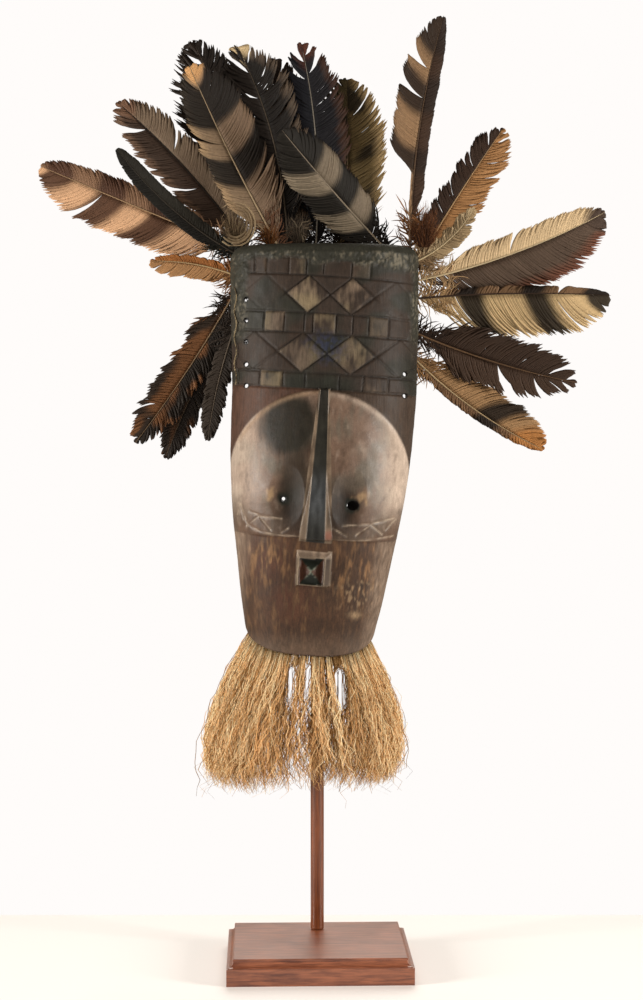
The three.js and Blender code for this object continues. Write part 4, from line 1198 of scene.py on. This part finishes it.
def fringePoint(across, fall, length, deep):
    angle = fringe["sweep"] * (2 * across - 1)
    start = archPoint(angle, 0, fringe["inset"])
    rimZ = rimHeight(start.x, start.y) - fringe["below"]
    out = fringe["flare"] * math.sin(fall * fringe["flareTurn"]) + deep
    return Vector((start.x + math.sin(angle) * out + fringe["shift"] * fall,
                   start.y - math.cos(angle) * out * fringe["frontFlare"], rimZ - (length + rimZ) * fall))


def makeStrand(index, length, rng):
    # one strand: what part of the fall it covers, how it wanders, and whether it is one of a crossing bundle
    kind = rng.random()
    deep = rng.uniform(-0.5, 0.5)
    across = rng.uniform(-0.5, 0.5)
    place = index + across
    uneven = 0.07 * wander(place * 0.9, 7, 3, 1.3) + 0.05 * wander(place * 3.1, 9, 3, 1.3)
    strand = {
        "from": 0.0, "end": 1 + uneven - abs(rng.gauss(0, 0.08)), "across": across, "deep": deep,
        "drift": rng.gauss(0, 0.85), "half": rng.uniform(fringe["narrow"], fringe["wide"]),
        "seed": rng.uniform(0, 500), "turn": rng.uniform(0, 6.3), "twist": rng.uniform(-5, 5), "away": 0.0,
        # how light the strand is: at random, and darker the further in it hangs, a painted shade
        "curl": rng.uniform(0, 6), "held": None, "light": min(1, max(0, rng.gauss(0.55, 0.24) + 0.35 * deep)),
    }
    if kind < fringe["short"]:
        strand["end"] = rng.uniform(0.3, 0.95)
    if kind > fringe["crossFrom"]:
        strand["drift"] = (-2.1 if index < 7 else 1.2) * rng.uniform(0.8, 1.2)  # bundles that cross outwards
        strand["across"] = 0.2 * strand["across"] + 0.2
        strand["deep"] = rng.uniform(0.5, 0.75)
        # painted light: the crossing bundles hang outermost and are made lighter
        strand["light"] = rng.uniform(0.7, 1.0)
    elif rng.random() < fringe["stray"]:
        strand["away"] = rng.uniform(4, 14)
        strand["end"] = rng.uniform(0.9, 1.1)
        strand["curl"] = rng.uniform(6, 14)
        strand["light"] *= 0.6
    middle = fringePoint((index + 0.5 + strand["across"]) / fringe["hanks"], 0.25, length, 0).x
    for low, high in fringe["gaps"]:
        if low < middle < high:
            choice = rng.random()
            strand["light"] *= 0.8
            if choice < fringe["hangs"]:
                places = (low - rng.uniform(0, 2), high + rng.uniform(0, 2), rng.uniform(low, high))
                strand["held"] = rng.choice(places)
                strand["light"] *= 0.4
                strand["end"] = max(strand["end"], 0.7)
            elif choice < fringe["stub"]:
                strand["end"] = rng.uniform(0.05, 0.1)
            else:
                strand["from"] = rng.uniform(0.36, 0.52)
                strand["end"] = max(strand["end"], 0.8)
    return strand


def makeHank(index, material):
    name = "fringe_hank_" + str(index + 1).zfill(2)
    rng = random.Random(name)
    nearRod = max(0, 1 - abs(index - fringe["notchHank"]) / 2)
    swing = fringe["dropSwing"] * math.sin(index * fringe["swingTurn"])
    length = fringe["drop"] + swing - fringe["notch"] * nearRod
    strands = [makeStrand(index, length, rng) for k in range(fringe["strands"])]
    opens, opened = fringe["opens"]
    closes, closed = fringe["closes"]

    def place(k, t, corner):
        strand = strands[k]
        fall = mix(strand["from"], strand["end"], t)
        across = strand["across"] * alongStops(fringe["fills"], fall) + strand["drift"] * fall * fall
        deep = strand["deep"] * alongStops(fringe["thick"], fall) + strand["away"] * fall
        p = fringePoint((index + 0.5 + across) / fringe["hanks"], fall, length, deep)
        sway = fringe["crinkle"] * min(1, fall * 3)
        seed = strand["seed"]
        wave = wander(seed, fall * 8, 0, 1.3) + 0.6 * wander(seed, fall * 21, 5, 1.3)
        if strand["held"] is not None:
            held = smooth(opens, opened, fall) * (1 - smooth(closes, closed, fall))
            p.x = mix(p.x, strand["held"], held)
            sway *= 1 - 0.8 * held
        p.x += sway * wave + fringe["billow"] * smooth(0.4, 1, fall) * wander(seed, fall * 3, 60, 1.3)
        p.y += 0.6 * sway * wander(seed, fall * 9, 40, 1.3)
        p.z += 0.5 * sway * wander(seed, fall * 14, 80, 1.3) * min(1, (1 - t) * 4)
        loose = smooth(0.78, 1, fall)
        p.x += strand["curl"] * loose * math.sin(fall * 24 + strand["turn"])
        turn = strand["turn"] + strand["twist"] * t + corner * 2 * math.pi / 3
        half = strand["half"] * (1 if t < 0.93 else 0.5)
        p = p + Vector((math.cos(turn) * half, math.sin(turn) * half * 0.6, 0))
        light = strand["light"] + 0.2 * wander(seed, fall * 12, 9, 2)
        tone = alongStops(raffiaTones, light)
        # painted shadow: the strands darker at the top, just under the mask's rim
        return painted(p, tone, mix(0.62, 1.0, smooth(0, 0.12, fall)))

    bm = makeTubes(len(strands), fringe["stations"], 3, place)
    return keepPiece(bm, name + "_strands", material, [name])


# The thin two-ply cord laid along the left edge, mm
lashing = {"radius": 0.9, "plyRadius": 0.52, "sides": 6, "tones": ("#9a8a6c", "#3b3022"),
           "x": -86.5, "low": 268, "high": 364, "steps": 12, "sway": 1.2, "swayTurn": 1.9,
           "offX": 1.3, "offY": 1.6, "ply": 0.42, "lay": 3.2, "stations": 150}


def frontAt(x, z):
    share = min(1, abs(x - middleAt(z)) / halfWidthAt(z))
    return -depthAt(z) * (1 - share ** mask["archPower"]) ** (1 / mask["archPower"])


def makeLashing(material):
    light, dark = [linear(value) for value in lashing["tones"]]
    thick = lashing["radius"] * lashing["plyRadius"]

    def place(k, t, corner):
        z = mix(lashing["low"], lashing["high"], t)
        x = lashing["x"] + lashing["sway"] * math.sin(t * lashing["steps"] * lashing["swayTurn"])
        middle = Vector((x - lashing["offX"], frontAt(x, z) - lashing["offY"], z))
        lay = z / lashing["lay"] * 2 * math.pi + k * math.pi
        turn = corner / lashing["sides"] * 2 * math.pi
        out = Vector((math.cos(lay), math.sin(lay), 0)) * lashing["ply"]
        skin = Vector((math.cos(turn), math.sin(turn), 0)) * thick
        # darker cord with paler stretches: partly its own colour, partly painted glints
        return painted(middle + out + skin, mix(light, dark, smooth(-0.4, 0.5, wander(x, z, k * 9, 4))))

    bm = makeTubes(2, lashing["stations"], lashing["sides"], place)
    return keepPiece(bm, "edge_lashing_twisted", material, ["edge_lashing"])


# Floor, lights and camera

stageSizes = {"halfWidth": 0.9, "front": -1.2, "back": 0.192}


def makeStage():
    bm = bmesh.new()
    bmesh.ops.create_grid(bm, x_segments=1, y_segments=1, size=0.5)
    front = stageSizes["front"]
    back = stageSizes["back"]
    bmesh.ops.scale(bm, vec=(2 * stageSizes["halfWidth"], back - front, 1), verts=bm.verts)
    bmesh.ops.translate(bm, vec=(0, (back + front) / 2, 0), verts=bm.verts)
    meshObject(bm, "floor", plainStage("painted white board", "#e9e7e6", 0.5))


lights = {
    "left": {"at": (-1.5, -0.55, 0.56), "size": (0.34, 0.6), "power": 29},
    "right": {"at": (1.5, -0.6, 0.58), "size": (0.34, 0.6), "power": 28},
    "front": {"at": (-0.3, -2.3, 1.5), "size": (1.4, 1.4), "power": 9},
    "back": {"at": (0.1, 1.4, 1.5), "size": (1.4, 1.4), "power": 25},
}


# The white room: the lamps' colour, what they point at, the light from all sides, and the wall that is seen
room = {"lamps": (1.0, 0.955, 0.89), "aim": (0, 0, 0.5), "glow": "#ffeddb", "strength": 0.3,
        "wall": "#fffcfa"}


def makeLights():
    for name, look in lights.items():
        data = bpy.data.lights.new(name, "AREA")
        data.shape = "RECTANGLE"
        data.size, data.size_y = look["size"]
        data.energy = look["power"]
        data.color = room["lamps"]
        lamp = addObject(name, data)
        lamp.location = look["at"]
        lamp.visible_glossy = name != "front"  # the fill light leaves no haze on the wood
        lamp.rotation_euler = (Vector(room["aim"]) - lamp.location).to_track_quat("-Z", "Y").to_euler()
    world = bpy.data.worlds.new("white room")
    bpy.context.scene.world = world
    world.use_nodes = True
    tree = world.node_tree
    tree.nodes.clear()
    seen = addNode(tree, "LightPath")  # its first output tells what the camera sees itself
    glow = addNode(tree, "Background", {"Color": fourth(linear(room["glow"])), "Strength": room["strength"]})
    wall = addNode(tree, "Background", {"Color": fourth(linear(room["wall"])), "Strength": 1.0})
    both = addNode(tree, "MixShader", None, {0: seen, 1: glow, 2: wall})
    addNode(tree, "OutputWorld", None, {"Surface": both})
    bpy.context.scene.view_settings.view_transform = "Standard"


view = {"at": (0.003, -1.867, 0.531), "down": math.radians(2.14), "lens": 1.9}  # lens in sensor widths


def makeCamera():
    data = bpy.data.cameras.new("camera")
    data.lens = data.sensor_width * view["lens"]
    camera = addObject("camera", data)
    camera.location = view["at"]
    camera.rotation_euler = (math.pi / 2 - view["down"], 0, 0)
    bpy.context.scene.camera = camera


makeCamera()
makeLights()
makeStage()
makeMask(smokedHardwood())
makeBase(stainedWood("mahogany stained and varnished", "#562817", "#96583a", (0.08, 1, 1), 0.7))
makeRod(stainedWood("turned hardwood rod, stained", "#4e2410", "#7c421e", (1, 1, 0.06), 0.12))
print("mask and stand done")
# keratin barbs hooked into a web: dull, and a little light comes through
vaneMaterials = {tone: thinFibre("barbed keratin vane, " + tone, roughness=0.65, through=0.16, scale=400.0,
                                 low=0.88, high=1.1) for tone in ("pale", "dark", "orange")}
for featherName, featherRow in feathers.items():
    makeFeather(featherName, featherRow, vaneMaterials[featherRow[0]])
# loose barbs that don't hook together: softer, and more light comes through
downMaterial = thinFibre("loose down fibre", roughness=0.7, through=0.35, scale=300.0, low=0.85, high=1.12)
for tuftName, tuftLook in tufts.items():
    makeTuft(tuftName, tuftLook, downMaterial)
print("feathers and down done")
# dried strips of palm leaf: a low sheen, with brighter and darker flecks along them
raffiaMaterial = thinFibre("dried raffia, split and crinkled", roughness=0.6, through=0.3, scale=500.0,
                           low=0.8, high=1.15)
for hankIndex in range(fringe["hanks"]):
    makeHank(hankIndex, raffiaMaterial)
# twisted plant fibre: matt, and no light comes through
makeLashing(thinFibre("twisted plant fibre cord", roughness=0.8, through=0.0, scale=900.0,
                      low=0.75, high=1.15))
print("fringe and lashing done")
